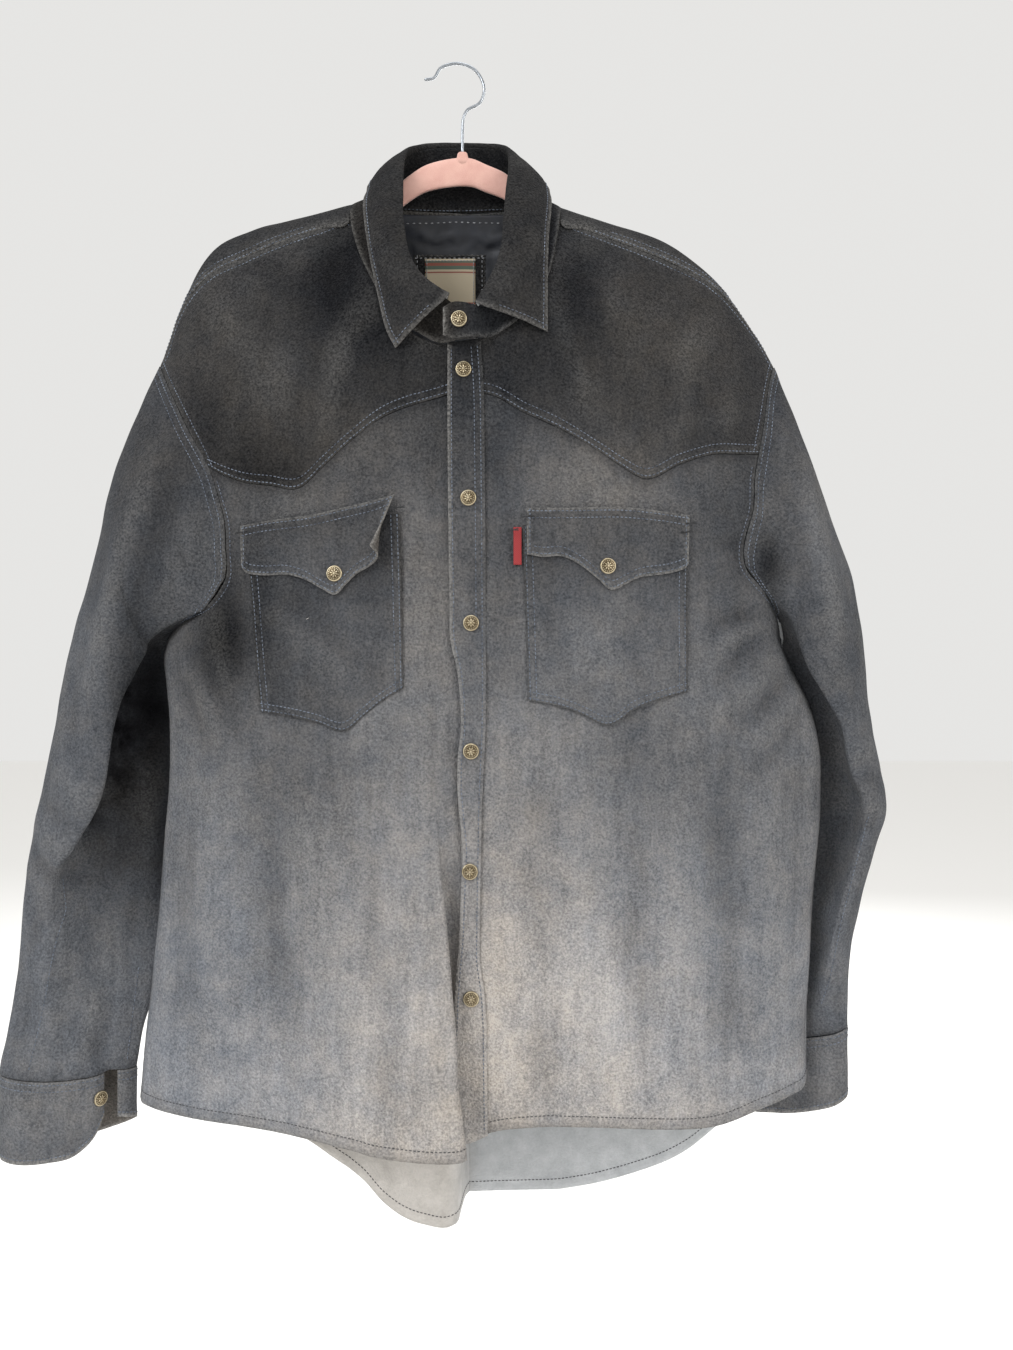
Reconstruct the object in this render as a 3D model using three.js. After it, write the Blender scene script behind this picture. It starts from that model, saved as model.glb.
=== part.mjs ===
// A worn suede shirt jacket with a snap front, hanging by a slim flocked hanger.
// Millimetres. X runs to the wearer's left, Y runs to the wall behind, Z is up.
// The origin is the top of the hook's inside, where the hook rests on what carries it.
// "Right" and "left" are the wearer's, so the right front has the smaller X.
// Lengths named "down" are measured from the origin towards the floor.

import * as THREE from 'three';

// Driving dimensions
const SUEDE = 1.5;
const COLLAR_CLOTH = 1.5;
const LINING_CLOTH = 1;
const SEAM_GAP = 0.3;
const REST_GAP = 0.5;
const CENTRE_X = 8;
const SHOULDER_TIP = { right: -253.5, left: 268 };
const NECK_CORNER = { right: -88, left: 85 };
const ARMPIT = { right: { x: -240, down: 478 }, left: { x: 270, down: 466 } };
const SNAP_RADIUS = 6.4;
const SNAP_HEIGHT = 2.4;
const HOOK_WIRE_RADIUS = 1.3;
const HANGER_THICKNESS = 5;

const DARK_SUEDE = { color: 0x2e2c2b, roughness: 0.95, metalness: 0 };
const GREY_SUEDE = { color: 0x55524f, roughness: 0.95, metalness: 0 };
const FADED_SUEDE = { color: 0x67615b, roughness: 0.95, metalness: 0 };
const NAVY_SATIN = { color: 0x1b2230, roughness: 0.4, metalness: 0 };
const CREAM_LABEL = { color: 0xd8ccb4, roughness: 0.8, metalness: 0 };
const RUST_TAPE = { color: 0x7c4030, roughness: 0.8, metalness: 0 };
const OLD_BRASS = { color: 0xa58b5c, roughness: 0.35, metalness: 1 };
const BRIGHT_WIRE = { color: 0xb9bcc0, roughness: 0.2, metalness: 1 };
const PINK_FLOCK = { color: 0xe8b9b1, roughness: 1, metalness: 0 };

const garment = new THREE.Group();

function add(name, geometry, finish) {
  const mesh = new THREE.Mesh(geometry, new THREE.MeshStandardMaterial(finish));
  mesh.name = name;
  garment.add(mesh);
  return mesh;
}

// A smooth value through [key, value] pairs with rising keys, with no overshoot between them.
function through(pairs) {
  const last = pairs.length - 1;
  const rise = (k) => (pairs[k + 1][1] - pairs[k][1]) / (pairs[k + 1][0] - pairs[k][0]);
  const slopes = pairs.map((pair, k) => {
    if (k === 0) {
      return rise(0);
    }
    if (k === last) {
      return rise(last - 1);
    }
    const product = rise(k - 1) * rise(k);
    return product <= 0 ? 0 : (2 * product) / (rise(k - 1) + rise(k));
  });
  return (key) => {
    const inside = THREE.MathUtils.clamp(key, pairs[0][0], pairs[last][0]);
    const found = pairs.findIndex((pair) => pair[0] >= inside);
    const k = Math.max(0, found - 1);
    const span = pairs[k + 1][0] - pairs[k][0];
    const s = (inside - pairs[k][0]) / span;
    const early = (1 + 2 * s) * (1 - s) ** 2 * pairs[k][1] + s * (1 - s) ** 2 * span * slopes[k];
    const late = s * s * (3 - 2 * s) * pairs[k + 1][1] - s * s * (1 - s) * span * slopes[k + 1];
    return early + late;
  };
}

const mix = THREE.MathUtils.lerp;
const point = (x, y, z) => new THREE.Vector3(x, y, z);

function ramp(from, to, value) {
  const s = THREE.MathUtils.clamp((value - from) / (to - from), 0, 1);
  return s * s * (3 - 2 * s);
}

// Body surface: the outline seen from the front, and how far the front and back stand out.

// Side outline: the sleeve's outer fold above the armpit, and the side seam below it.
const sideOutline = {
  right: through([
    [60, -262], [256, -262], [317, -277], [375, -285], [420, -270], [450, -250], [478, -240],
    [495, -249], [517, -248], [554, -244], [598, -244], [646, -248], [717, -253], [775, -259],
    [830, -265], [875, -269], [980, -276],
  ]),
  left: through([
    [60, 276], [256, 276], [317, 289], [375, 292], [420, 287], [450, 276], [466, 270],
    [494, 274], [523, 288], [540, 296], [564, 303], [598, 307], [632, 307], [676, 303],
    [732, 299], [806, 295], [860, 295], [980, 298],
  ]),
};

// How far down the shoulder ridge lies at each X, carried across the neck opening.
const ridgeDown = through([
  [-262, 275], [-253.5, 256], [-241, 229], [-231, 197], [-218, 169], [-201, 153], [-180, 142],
  [-131, 130], [-91, 120], [-60, 112], [0, 106], [60, 112], [86, 122], [106, 129], [136, 138],
  [180, 153], [200, 164], [216, 183], [232, 199], [242, 216], [252, 227], [260, 243],
  [268, 257], [276, 272],
]);

// Y of the side seam, which swings a little forward below the armpit.
const sideDepth = through([[60, 0], [440, 0], [520, -4], [980, -5]]);

// How far the front stands out from the side seam, and the extra belly of the right front.
const frontFullness = {
  right: through([[60, 50], [250, 58], [400, 60], [550, 63], [650, 64], [750, 63], [890, 62]]),
  left: through([[60, 50], [250, 58], [400, 60], [550, 63], [650, 65], [750, 61], [890, 53]]),
};
const rightBelly = through([[480, 0], [600, 6], [700, 14], [800, 22], [890, 28]]);
const BELLY_FROM = -170;
const BELLY_TO = -15;

// How far the back stands off the side seam: the right half swings forward towards its hem.
const backFullness = {
  right: through([[60, 28], [380, 24], [520, 18], [700, 0], [850, -14], [980, -19]]),
  left: through([[60, 28], [380, 24], [520, 24], [700, 30], [850, 36], [980, 39]]),
};
const BACK_FOLD = { from: -3, to: 6 };
const SIDE_ROUNDING = 3;
const FRONT_TOP = 260;
const BACK_TOP = 90;

const sideName = (x) => (x < CENTRE_X ? 'right' : 'left');

function fromSide(x, down) {
  const side = sideOutline[sideName(x)](down);
  return THREE.MathUtils.clamp((x - side) / (CENTRE_X - side), 0, 1);
}

const bulge = (t, power, root) => (1 - (1 - t) ** power) ** (1 / root);
const crown = (x, down, height) => (
  bulge(THREE.MathUtils.clamp((down - ridgeDown(x)) / height, 0, 1), 2.2, 2)
);

function frontY(x, down) {
  const t = fromSide(x, down);
  const belly = x < CENTRE_X ? rightBelly(down) * ramp(BELLY_FROM, BELLY_TO, x) : 0;
  const out = (frontFullness[sideName(x)](down) + belly) * bulge(t, 2.6, 1.8);
  return sideDepth(down) - out * crown(x, down, FRONT_TOP);
}

function backY(x, down) {
  const t = fromSide(x, down);
  const side = sideOutline[sideName(x)](down);
  const inFromSide = Math.min(Math.abs(x - side) / SIDE_ROUNDING, 1);
  const half = ramp(BACK_FOLD.from, BACK_FOLD.to, x);
  const fullness = mix(backFullness.right(down), backFullness.left(down), half);
  const slow = Math.sin((Math.PI / 2) * Math.min(1, 1.15 * t));
  const spread = mix(bulge(t, 2.6, 1.8), slow, ramp(400, 520, down));
  const rounding = SIDE_ROUNDING * Math.sqrt(1 - (1 - inFromSide) ** 2);
  return sideDepth(down) + (rounding + fullness * spread) * crown(x, down, BACK_TOP);
}

// A point of the front or back with its outward direction.
const STEP = 0.05;
function onBody(face, x, down) {
  const depth = face === 'front' ? frontY : backY;
  const outward = face === 'front' ? -1 : 1;
  const p = point(x, depth(x, down), -down);
  if (fromSide(x, down) < 0.004) {
    return { p, n: point(x < CENTRE_X ? -1 : 1, 0, 0) };
  }
  if (down - ridgeDown(x) < 0.01) {
    const slope = (ridgeDown(x + STEP) - ridgeDown(x - STEP)) / (2 * STEP);
    return { p, n: point(slope, 0, 1).normalize() };
  }
  const alongX = (depth(x + STEP, down) - depth(x - STEP, down)) / (2 * STEP);
  const alongZ = (depth(x, down - STEP) - depth(x, down + STEP)) / (2 * STEP);
  return { p, n: point(-outward * alongX, outward, -outward * alongZ).normalize() };
}

// The same at a distance "over" the shoulder ridge: negative in front of it, positive behind.
const RIDGE_SOFTNESS = 12.5;
function overRidge(x, over) {
  const below = Math.hypot(over, RIDGE_SOFTNESS) - RIDGE_SOFTNESS;
  return onBody(over < 0 ? 'front' : 'back', x, ridgeDown(x) + below);
}
const overFor = (below) => Math.sqrt((below + RIDGE_SOFTNESS) ** 2 - RIDGE_SOFTNESS ** 2);

const raised = ({ p, n }, lift) => ({ p: p.clone().addScaledVector(n, lift), n });

// Walls: a grid of points with their outward directions, thickened inwards and closed at the rims.

// In a tight fold the inner points would pass each other, so each pair keeps its outer order.
const EASE_PASSES = 12;
const EASE_SHARE = 0.2;
function easeFolds(pairs, outer, inner) {
  for (let pass = 0; pass < EASE_PASSES; pass += 1) {
    pairs.forEach(([a, b]) => {
      const along = outer[b].clone().sub(outer[a]);
      const wanted = EASE_SHARE * along.length();
      along.normalize();
      const push = (wanted - inner[b].clone().sub(inner[a]).dot(along)) / 2;
      if (push > 0) {
        inner[a].addScaledVector(along, -push);
        inner[b].addScaledVector(along, push);
      }
    });
  }
}

function wall(grid, { thickness = SUEDE, closed = false } = {}) {
  const across = grid.length;
  const down = grid[0].length;
  const cells = grid.flat();
  const outer = cells.map(({ p }) => p);
  const inner = cells.map(({ p, n }) => p.clone().addScaledVector(n, -thickness));
  const at = (i, j) => (i % across) * down + j;
  const far = cells.length;
  const columns = closed ? across : across - 1;
  const pairs = cells.flatMap((_, k) => {
    const [i, j] = [Math.floor(k / down), k % down];
    return [...(i < columns ? [[k, at(i + 1, j)]] : []), ...(j < down - 1 ? [[k, k + 1]] : [])];
  });
  easeFolds(pairs, outer, inner);
  const quads = [];
  for (let i = 0; i < columns; i += 1) {
    for (let j = 0; j < down - 1; j += 1) {
      const corners = [at(i, j), at(i + 1, j), at(i + 1, j + 1), at(i, j + 1)];
      quads.push(corners);
      quads.push(corners.map((k) => k + far).reverse());
    }
    quads.push([at(i + 1, 0), at(i, 0), at(i, 0) + far, at(i + 1, 0) + far]);
    const [near, next] = [at(i, down - 1), at(i + 1, down - 1)];
    quads.push([near, next, next + far, near + far]);
  }
  for (let j = 0; j < down - 1 && !closed; j += 1) {
    quads.push([at(0, j), at(0, j + 1), at(0, j + 1) + far, at(0, j) + far]);
    const [upper, lower] = [at(across - 1, j), at(across - 1, j + 1)];
    quads.push([lower, upper, upper + far, lower + far]);
  }
  let facing = 0;
  for (let i = 0; i < columns; i += 1) {
    const [a, b, c] = [at(i, 0), at(i + 1, 0), at(i + 1, 1)];
    const ab = outer[b].clone().sub(outer[a]);
    const ac = outer[c].clone().sub(outer[a]);
    facing += ab.cross(ac).dot(cells[a].n);
  }
  const ordered = facing < 0 ? quads.map((quad) => quad.reverse()) : quads;
  const geometry = new THREE.BufferGeometry();
  const positions = [...outer, ...inner].flatMap((p) => p.toArray());
  geometry.setAttribute('position', new THREE.Float32BufferAttribute(positions, 3));
  geometry.setIndex(ordered.flatMap(([a, b, c, d]) => [a, b, c, a, c, d]));
  return geometry;
}

// Pulls the named edges of a grid inwards by about half a seam gap.
function trimmed(grid, edges, by = SEAM_GAP / 2 + 0.05) {
  const across = grid.length;
  const down = grid[0].length;
  const pull = (cell, next) => {
    const along = next.p.clone().sub(cell.p).normalize();
    cell.p.addScaledVector(along, by);
  };
  for (let i = 0; i < across; i += 1) {
    if (edges.includes('top')) {
      pull(grid[i][0], grid[i][1]);
    }
    if (edges.includes('bottom')) {
      pull(grid[i][down - 1], grid[i][down - 2]);
    }
  }
  for (let j = 0; j < down; j += 1) {
    if (edges.includes('start')) {
      pull(grid[0][j], grid[1][j]);
    }
    if (edges.includes('end')) {
      pull(grid[across - 1][j], grid[across - 2][j]);
    }
  }
  return grid;
}

// Outward directions worked out from a grid's own points, facing away from "inside" or by sign.
function faced(rows, { closed = false, sign = 1 } = {}) {
  const across = rows.length;
  const down = rows[0].length;
  const near = (i) => (closed ? (i + across) % across : THREE.MathUtils.clamp(i, 0, across - 1));
  return rows.map((column, i) => column.map((p, j) => {
    const around = rows[near(i + 1)][j].clone().sub(rows[near(i - 1)][j]);
    const lower = column[Math.min(j + 1, down - 1)];
    const along = lower.clone().sub(column[Math.max(j - 1, 0)]);
    return { p, n: around.cross(along).normalize().multiplyScalar(sign) };
  }));
}

// Seams of the body, as "down" over X, and the armholes as X over "down".

const yokeSeam = {
  right: through([
    [-201, 349], [-194, 353], [-176, 362], [-149, 366.5], [-125, 369], [-110, 356], [-91, 338],
    [-71, 323], [-51, 308], [-27, 301], [-6, 294],
  ]),
  left: through([
    [24, 294], [36, 302], [55, 309], [73, 317], [102, 331], [116, 340], [134, 352], [151.5, 361],
    [168, 353], [182, 348], [191, 342], [207, 339.5], [249, 336.5],
  ]),
};
const YOKE_END = { right: { x: -201, down: 349 }, left: { x: 249, down: 336.5 } };
const FRONT_EDGE = { right: -6, left: 24 };

const armholeFront = {
  right: through([
    [256, -253.5], [290, -235], [317, -220], [343, -206], [349, -201], [366, -195], [392, -187],
    [433, -186], [458, -199], [470, -220], [478, -240],
  ]),
  left: through([
    [257, 268], [276, 261], [295, 258], [319, 253], [336.5, 249], [359, 245], [386, 243.5],
    [404, 237], [423, 235], [440, 243], [451, 256], [466, 270],
  ]),
};
const armholeBack = {
  right: through([
    [256, -253.5], [300, -232], [366, -212], [420, -208], [452, -218], [478, -240],
  ]),
  left: through([
    [257, 268], [300, 254], [366, 242], [410, 240], [440, 250], [466, 270],
  ]),
};
const BACK_YOKE_END = 300;

const hemFront = {
  right: through([
    [-269, 875], [-200, 878], [-158, 880], [-92, 886], [-45, 891], [-7, 893], [20, 889],
  ]),
  left: through([
    [-6, 893], [9, 892], [28, 884], [75, 879], [124, 881], [173, 884], [200, 885], [226, 880],
    [260, 870], [287, 864], [296, 859],
  ]),
};
const hemBack = through([
  [-269, 875], [-225, 880], [-180, 887], [-137, 900], [-112, 915], [-81, 935], [-53, 963], [-33, 973],
  [-11, 977], [2, 974], [36, 973], [79, 972], [110, 967], [143, 957], [175, 942], [207, 924],
  [226, 904], [255, 880], [296, 860],
]);

// Rows of the front armhole: four of the yoke, then five and one long row down to the armpit.
const YOKE_ROWS = [0, 0.12, 0.36, 0.68, 1];
const LOBE_END = { right: 462, left: 452 };
const LOWER_ROWS = 5;

function frontArmholeDowns(side) {
  const tip = ridgeDown(SHOULDER_TIP[side]);
  const yokeDowns = YOKE_ROWS.map((v) => mix(tip, YOKE_END[side].down, v));
  const lowerDowns = Array.from({ length: LOWER_ROWS }, (_, k) => (
    mix(YOKE_END[side].down, LOBE_END[side], (k + 1) / LOWER_ROWS)
  ));
  return { yokeDowns, lowerDowns };
}

function armholePoint(face, side, down) {
  const table = face === 'front' ? armholeFront : armholeBack;
  const x = down >= ARMPIT[side].down ? ARMPIT[side].x : table[side](down);
  return onBody(face, x, down);
}

// Shoulder seam: how far below the ridge it runs on the front, from the shoulder tip to the neck.
const shoulderDrop = {
  right: through([
    [-253.5, 0], [-234, 5], [-225, 13], [-209, 27], [-169, 31], [-131, 23], [-91, 22], [-85, 22],
  ]),
  left: through([
    [84, 22], [90, 19], [117, 20], [146, 22], [173, 23], [183, 27], [208, 15], [220, 8],
    [234, 1], [268, 0],
  ]),
};

// Neck seam, from the shoulder seam down to the centre front.
const neckFront = {
  right: [[-88, 142], [-81, 166], [-69, 192], [-45, 230], [-6, 252]],
  left: [[85, 142], [81, 164], [75, 190], [54, 225], [24, 246]],
};

// Front yokes

const YOKE_NECK_SHARE = 0.58;
const YOKE_COLUMNS = {
  right: [0, 0.02, 0.07, 0.16, 0.27, 0.39, 0.49, 0.58, 0.72, 0.86],
  left: [0, 0.02, 0.08, 0.18, 0.3, 0.432, 0.51, 0.58, 0.72, 0.86, 1],
};

function yokeTop(side, share) {
  if (share <= YOKE_NECK_SHARE) {
    const x = mix(SHOULDER_TIP[side], NECK_CORNER[side], share / YOKE_NECK_SHARE);
    return { x, down: ridgeDown(x) + shoulderDrop[side](x) };
  }
  const curve = new THREE.CatmullRomCurve3(neckFront[side].map(([x, down]) => point(x, 0, down)));
  const found = curve.getPoint((share - YOKE_NECK_SHARE) / (1 - YOKE_NECK_SHARE));
  return { x: found.x, down: found.z };
}

function yokeBottom(side, share) {
  const x = mix(YOKE_END[side].x, FRONT_EDGE[side], share);
  return { x, down: yokeSeam[side](x) };
}

// The right front dips by one cloth where the left front laps over it.
const LAP = SUEDE + REST_GAP + 0.3;
const lapDip = (x) => LAP * ramp(-26, -12, x);

function dipped(cell) {
  const dip = lapDip(cell.p.x);
  return { p: cell.p.clone().add(point(0, dip, 0)), n: cell.n };
}

function yokeGrid(side) {
  const downs = frontArmholeDowns(side).yokeDowns;
  const grid = YOKE_COLUMNS[side].map((share) => {
    const top = yokeTop(side, share);
    const bottom = yokeBottom(side, share);
    return YOKE_ROWS.map((v, j) => {
      if (share === 0) {
        return armholePoint('front', side, downs[j]);
      }
      return onBody('front', mix(top.x, bottom.x, v), mix(top.down, bottom.down, v));
    });
  });
  return grid;
}

// Centre columns, by X: the right front runs on under the left one, and that under the placket.
const FLAT_EDGE = [-30, -25, -21, -18, -15.5, -13.5, -11.5, -9, 5, 20];
const UNDER_PLACKET = [12, -4];
const NECK_CENTRE_DOWN = 252;

function centreColumn(side, x) {
  const neck = mix(NECK_CENTRE_DOWN, 240, ramp(-12, -50, x));
  const seam = yokeSeam[side](x);
  return YOKE_ROWS.map((v) => onBody('front', x, mix(neck, seam, v)));
}

function rightYoke() {
  const centre = FLAT_EDGE.map((x) => centreColumn('right', x));
  const grid = [...yokeGrid('right'), ...centre].map((column) => column.map(dipped));
  return wall(trimmed(grid, ['top', 'bottom', 'start'], SEAM_GAP));
}

function leftYoke() {
  const underPlacket = UNDER_PLACKET.map((x) => centreColumn('left', x));
  return wall(trimmed([...yokeGrid('left'), ...underPlacket], ['top', 'bottom', 'start'], SEAM_GAP));
}

add('right_front_yoke', rightYoke(), DARK_SUEDE);
add('left_front_yoke', leftYoke(), DARK_SUEDE);

// Front panels

const SIDE_ROWS = {
  right: [478, 500, 525, 560, 605, 660, 720, 775, 825, 875],
  left: [466, 490, 515, 543, 580, 630, 690, 750, 810, 859],
};

function frontSideX(side, down) {
  return down < ARMPIT[side].down ? armholeFront[side](down) : sideOutline[side](down);
}

function panelDowns(side) {
  const { lowerDowns } = frontArmholeDowns(side);
  return [YOKE_END[side].down, ...lowerDowns, ...SIDE_ROWS[side]];
}

function panelColumn(side, share) {
  const downs = panelDowns(side);
  const lowest = downs[downs.length - 1];
  const top = yokeBottom(side, share);
  const hemX = mix(sideOutline[side](lowest), FRONT_EDGE[side], share);
  const bottomDown = hemFront[side](hemX);
  return downs.map((sideDown) => {
    const v = (sideDown - downs[0]) / (lowest - downs[0]);
    const down = share === 0 ? sideDown : mix(top.down, bottomDown, v);
    const edgeDown = sideDown < ARMPIT[side].down ? sideDown : down;
    return onBody('front', mix(frontSideX(side, edgeDown), FRONT_EDGE[side], share), down);
  });
}

// The right front's edge: flat under the lap at the top, rolled forward and back again below.
const foldShare = through([
  [540, 0], [640, 0.15], [700, 0.4], [755, 0.63], [800, 0.7], [830, 0.79], [868, 0.92], [893, 1],
]);
const ROLLED_EDGE = [
  [-20, 0], [-3, 0], [7, 3], [10.5, 8], [5, 14], [-5, 23], [-10, 33], [-8, 38.5], [6, 39.5], [20, 39.5],
];
const ROLL_DEPTH = 39.5;
const BEHIND_PLACKET = 7;

function rightEdgeColumns() {
  const downs = panelDowns('right');
  const lowest = downs[downs.length - 1];
  return FLAT_EDGE.map((flatX, k) => {
    const [rolledX, back] = ROLLED_EDGE[k];
    return downs.map((sideDown) => {
      const v = (sideDown - downs[0]) / (lowest - downs[0]);
      const down = mix(yokeSeam.right(flatX), hemFront.right(flatX), v);
      const roll = foldShare(down);
      const x = mix(flatX, rolledX, roll);
      const flatY = frontY(Math.min(x, CENTRE_X - 0.1), down) + lapDip(flatX);
      const underY = frontY(CENTRE_X + 0.1, down) + LAP;
      const rolledY = mix(frontY(-10, down), underY, back / ROLL_DEPTH);
      const behind = k === BEHIND_PLACKET ? ramp(0.08, 0.42, roll) : roll;
      return point(x, k > BEHIND_PLACKET ? underY : mix(flatY, rolledY, behind), -down);
    });
  });
}

function rightPanel() {
  const broad = YOKE_COLUMNS.right.map((share) => panelColumn('right', share));
  const edge = faced(rightEdgeColumns(), { sign: -1 });
  return wall(trimmed([...broad, ...edge], ['top', 'start']));
}

const placketLeft = through([
  [222, -6], [250, -6.2], [491, -3.5], [505, 0], [530, 4], [560, 5], [595, 2], [620, 3], [655, 6.5],
  [690, 5], [722, 3.9], [770, 0], [820, -2], [893, -3],
]);
const placketRight = through([
  [250, 20], [295, 23], [540, 24.8], [633, 21.6], [740, 20], [782, 24.8], [890, 26.2],
]);

function leftPanel() {
  const grid = YOKE_COLUMNS.left.map((share) => panelColumn('left', share));
  const downs = panelDowns('left');
  const lowest = downs[downs.length - 1];
  const underPlacket = UNDER_PLACKET.map((topX) => downs.map((sideDown) => {
    const v = (sideDown - downs[0]) / (lowest - downs[0]);
    const down = mix(yokeSeam.left(topX), hemFront.left(topX), v);
    return onBody('front', topX < CENTRE_X ? Math.max(topX, placketLeft(down) + 1) : topX, down);
  }));
  return wall(trimmed([...grid, ...underPlacket.map(onLeftHalf)], ['top', 'start']));
}

// Keeps the strip under the placket on the left front's surface, right of the belly's step.
function onLeftHalf(column) {
  return column.map(({ p, n }) => {
    const y = frontY(CENTRE_X + 0.1, -p.z);
    return { p: point(p.x, p.x < CENTRE_X ? y : p.y, p.z), n: p.x < CENTRE_X ? point(0, -1, 0) : n };
  });
}

add('right_front_panel', rightPanel(), FADED_SUEDE);
add('left_front_panel', leftPanel(), FADED_SUEDE);

// Back yoke: from the front shoulder seams over the ridge, behind the neck, to its pointed seam.

const BACK_POINT_X = 8;
const BACK_POINT_DOWN = 345;
const BACK_POINT_SLOPE = 30 / 48;
const BACK_SEAM_SIDE = {
  right: through([[-232, 300], [-110, 290], [-40, 315]]),
  left: through([[56, 315], [122, 290], [254, 300]]),
};

function backYokeSeam(x) {
  if (x < -40) {
    return BACK_SEAM_SIDE.right(x);
  }
  const besidePoint = BACK_POINT_DOWN - BACK_POINT_SLOPE * Math.abs(x - BACK_POINT_X);
  return x > 56 ? BACK_SEAM_SIDE.left(x) : besidePoint;
}

const OVER_FRONT = [0, 0.4, 0.75, 1];
const OVER_BACK = [0.03, 0.08, 0.16, 0.28, 0.45, 0.7, 1];
const OVER_DOWNS = [0, 0.04, 0.08, 0.12, 0.18, 0.25, 0.34, 0.46, 0.6, 0.78, 1];

function backYokeColumn(top, bottomX) {
  const bottom = { x: bottomX, over: overFor(backYokeSeam(bottomX) - ridgeDown(bottomX)) };
  const crest = Math.max(0, top.over + 4);
  const overs = [
    ...OVER_FRONT.map((v) => mix(top.over, crest, v)),
    ...OVER_BACK.map((v) => mix(crest, bottom.over, v)),
  ];
  return overs.map((over, j) => {
    const v = j / (overs.length - 1);
    return overRidge(mix(top.x, bottom.x, v ** 1.5), over);
  });
}

function backShoulder(side) {
  const tip = ridgeDown(SHOULDER_TIP[side]);
  return YOKE_COLUMNS[side].filter((share) => share <= YOKE_NECK_SHARE).map((share) => {
    if (share === 0) {
      return OVER_DOWNS.map((v) => armholePoint('back', side, mix(tip, BACK_YOKE_END, v)));
    }
    const along = share / YOKE_NECK_SHARE;
    const x = mix(SHOULDER_TIP[side], NECK_CORNER[side], along);
    const lowX = mix(armholeBack[side](BACK_YOKE_END), NECK_CORNER[side], along);
    return backYokeColumn({ x, over: -overFor(shoulderDrop[side](x)) }, lowX);
  });
}

// Neck edge of the back yoke: X, distance over the ridge, and the X of the seam point below it.
const BACK_NECK = [
  [-86.5, 0, -76], [-76, 8, -66], [-60, 14, -53], [-38, 18, -40], [-17, 21, -22], [-4, 22, -5],
  [8, 23, 8], [20, 22, 22], [36, 19, 40], [56, 14, 56], [74, 8, 66], [83.5, 0, 76],
];

function backYoke() {
  const neck = BACK_NECK.map(([x, over, lowX]) => backYokeColumn({ x, over }, lowX));
  const grid = [...backShoulder('right'), ...neck, ...backShoulder('left').reverse()];
  return wall(trimmed(grid, ['top', 'bottom', 'start', 'end'], SEAM_GAP));
}

add('back_yoke', backYoke(), DARK_SUEDE);

// Back panel

const BACK_FOLD_COLUMNS = [-2.5, 0, 2.5, 5];

function backSeamXs(side) {
  const shares = YOKE_COLUMNS[side].filter((share) => share <= YOKE_NECK_SHARE);
  const shoulder = shares.map((share) => (
    mix(armholeBack[side](BACK_YOKE_END), NECK_CORNER[side], share / YOKE_NECK_SHARE)
  ));
  const neck = BACK_NECK.map(([, , lowX]) => lowX).filter((x) => sideName(x) === side);
  return [...shoulder, ...(side === 'right' ? neck : neck.reverse())];
}

function backPanelColumn(side, seamX) {
  const inner = side === 'right' ? -5 : 8;
  const edgeX = (down) => (
    down < ARMPIT[side].down ? armholeBack[side](down) : sideOutline[side](down)
  );
  const armholeRows = ARMHOLE_BACK_ROWS.map((v) => mix(BACK_YOKE_END, ARMPIT[side].down, v));
  const downs = [...armholeRows, ...SIDE_ROWS[side]];
  const lowest = downs[downs.length - 1];
  const share = (seamX - edgeX(BACK_YOKE_END)) / (inner - edgeX(BACK_YOKE_END));
  const hemX = mix(sideOutline[side](lowest), inner, share);
  return downs.map((sideDown) => {
    const v = (sideDown - downs[0]) / (lowest - downs[0]);
    const down = share === 0 ? sideDown : mix(backYokeSeam(seamX), hemBack(hemX), v);
    const edgeDown = sideDown < ARMPIT[side].down ? sideDown : down;
    return onBody('back', mix(edgeX(edgeDown), inner, share), down);
  });
}

const ARMHOLE_BACK_ROWS = [0, 0.33, 0.62, 0.84];

function backPanel() {
  const right = backSeamXs('right').map((x) => backPanelColumn('right', x));
  const fold = BACK_FOLD_COLUMNS.map((x) => backPanelColumn('right', x));
  const left = backSeamXs('left').map((x) => backPanelColumn('left', x)).reverse();
  return wall(trimmed([...right, ...fold, ...left], ['top', 'start', 'end'], SEAM_GAP));
}

add('back_panel', backPanel(), FADED_SUEDE);

// Placket band, over the edge of the left front

const PLACKET_ROWS = 27;
function placketBand() {
  const shares = [0, 0.25, 0.5, 0.75, 1];
  const grid = shares.map((share) => Array.from({ length: PLACKET_ROWS + 1 }, (_, j) => {
    const across = mix(placketLeft(500), placketRight(500), share);
    const down = mix(mix(253, 249, share), hemFront.left(across), j / PLACKET_ROWS);
    const x = mix(placketLeft(down), placketRight(down), share);
    const seat = onBody('front', Math.max(x, CENTRE_X + 0.1), down);
    const onPanel = { p: point(x, seat.p.y, -down), n: seat.n };
    return raised(onPanel, SUEDE + REST_GAP);
  }));
  return wall(grid);
}

add('placket_band', placketBand(), GREY_SUEDE);

// Pockets and flaps

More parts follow.
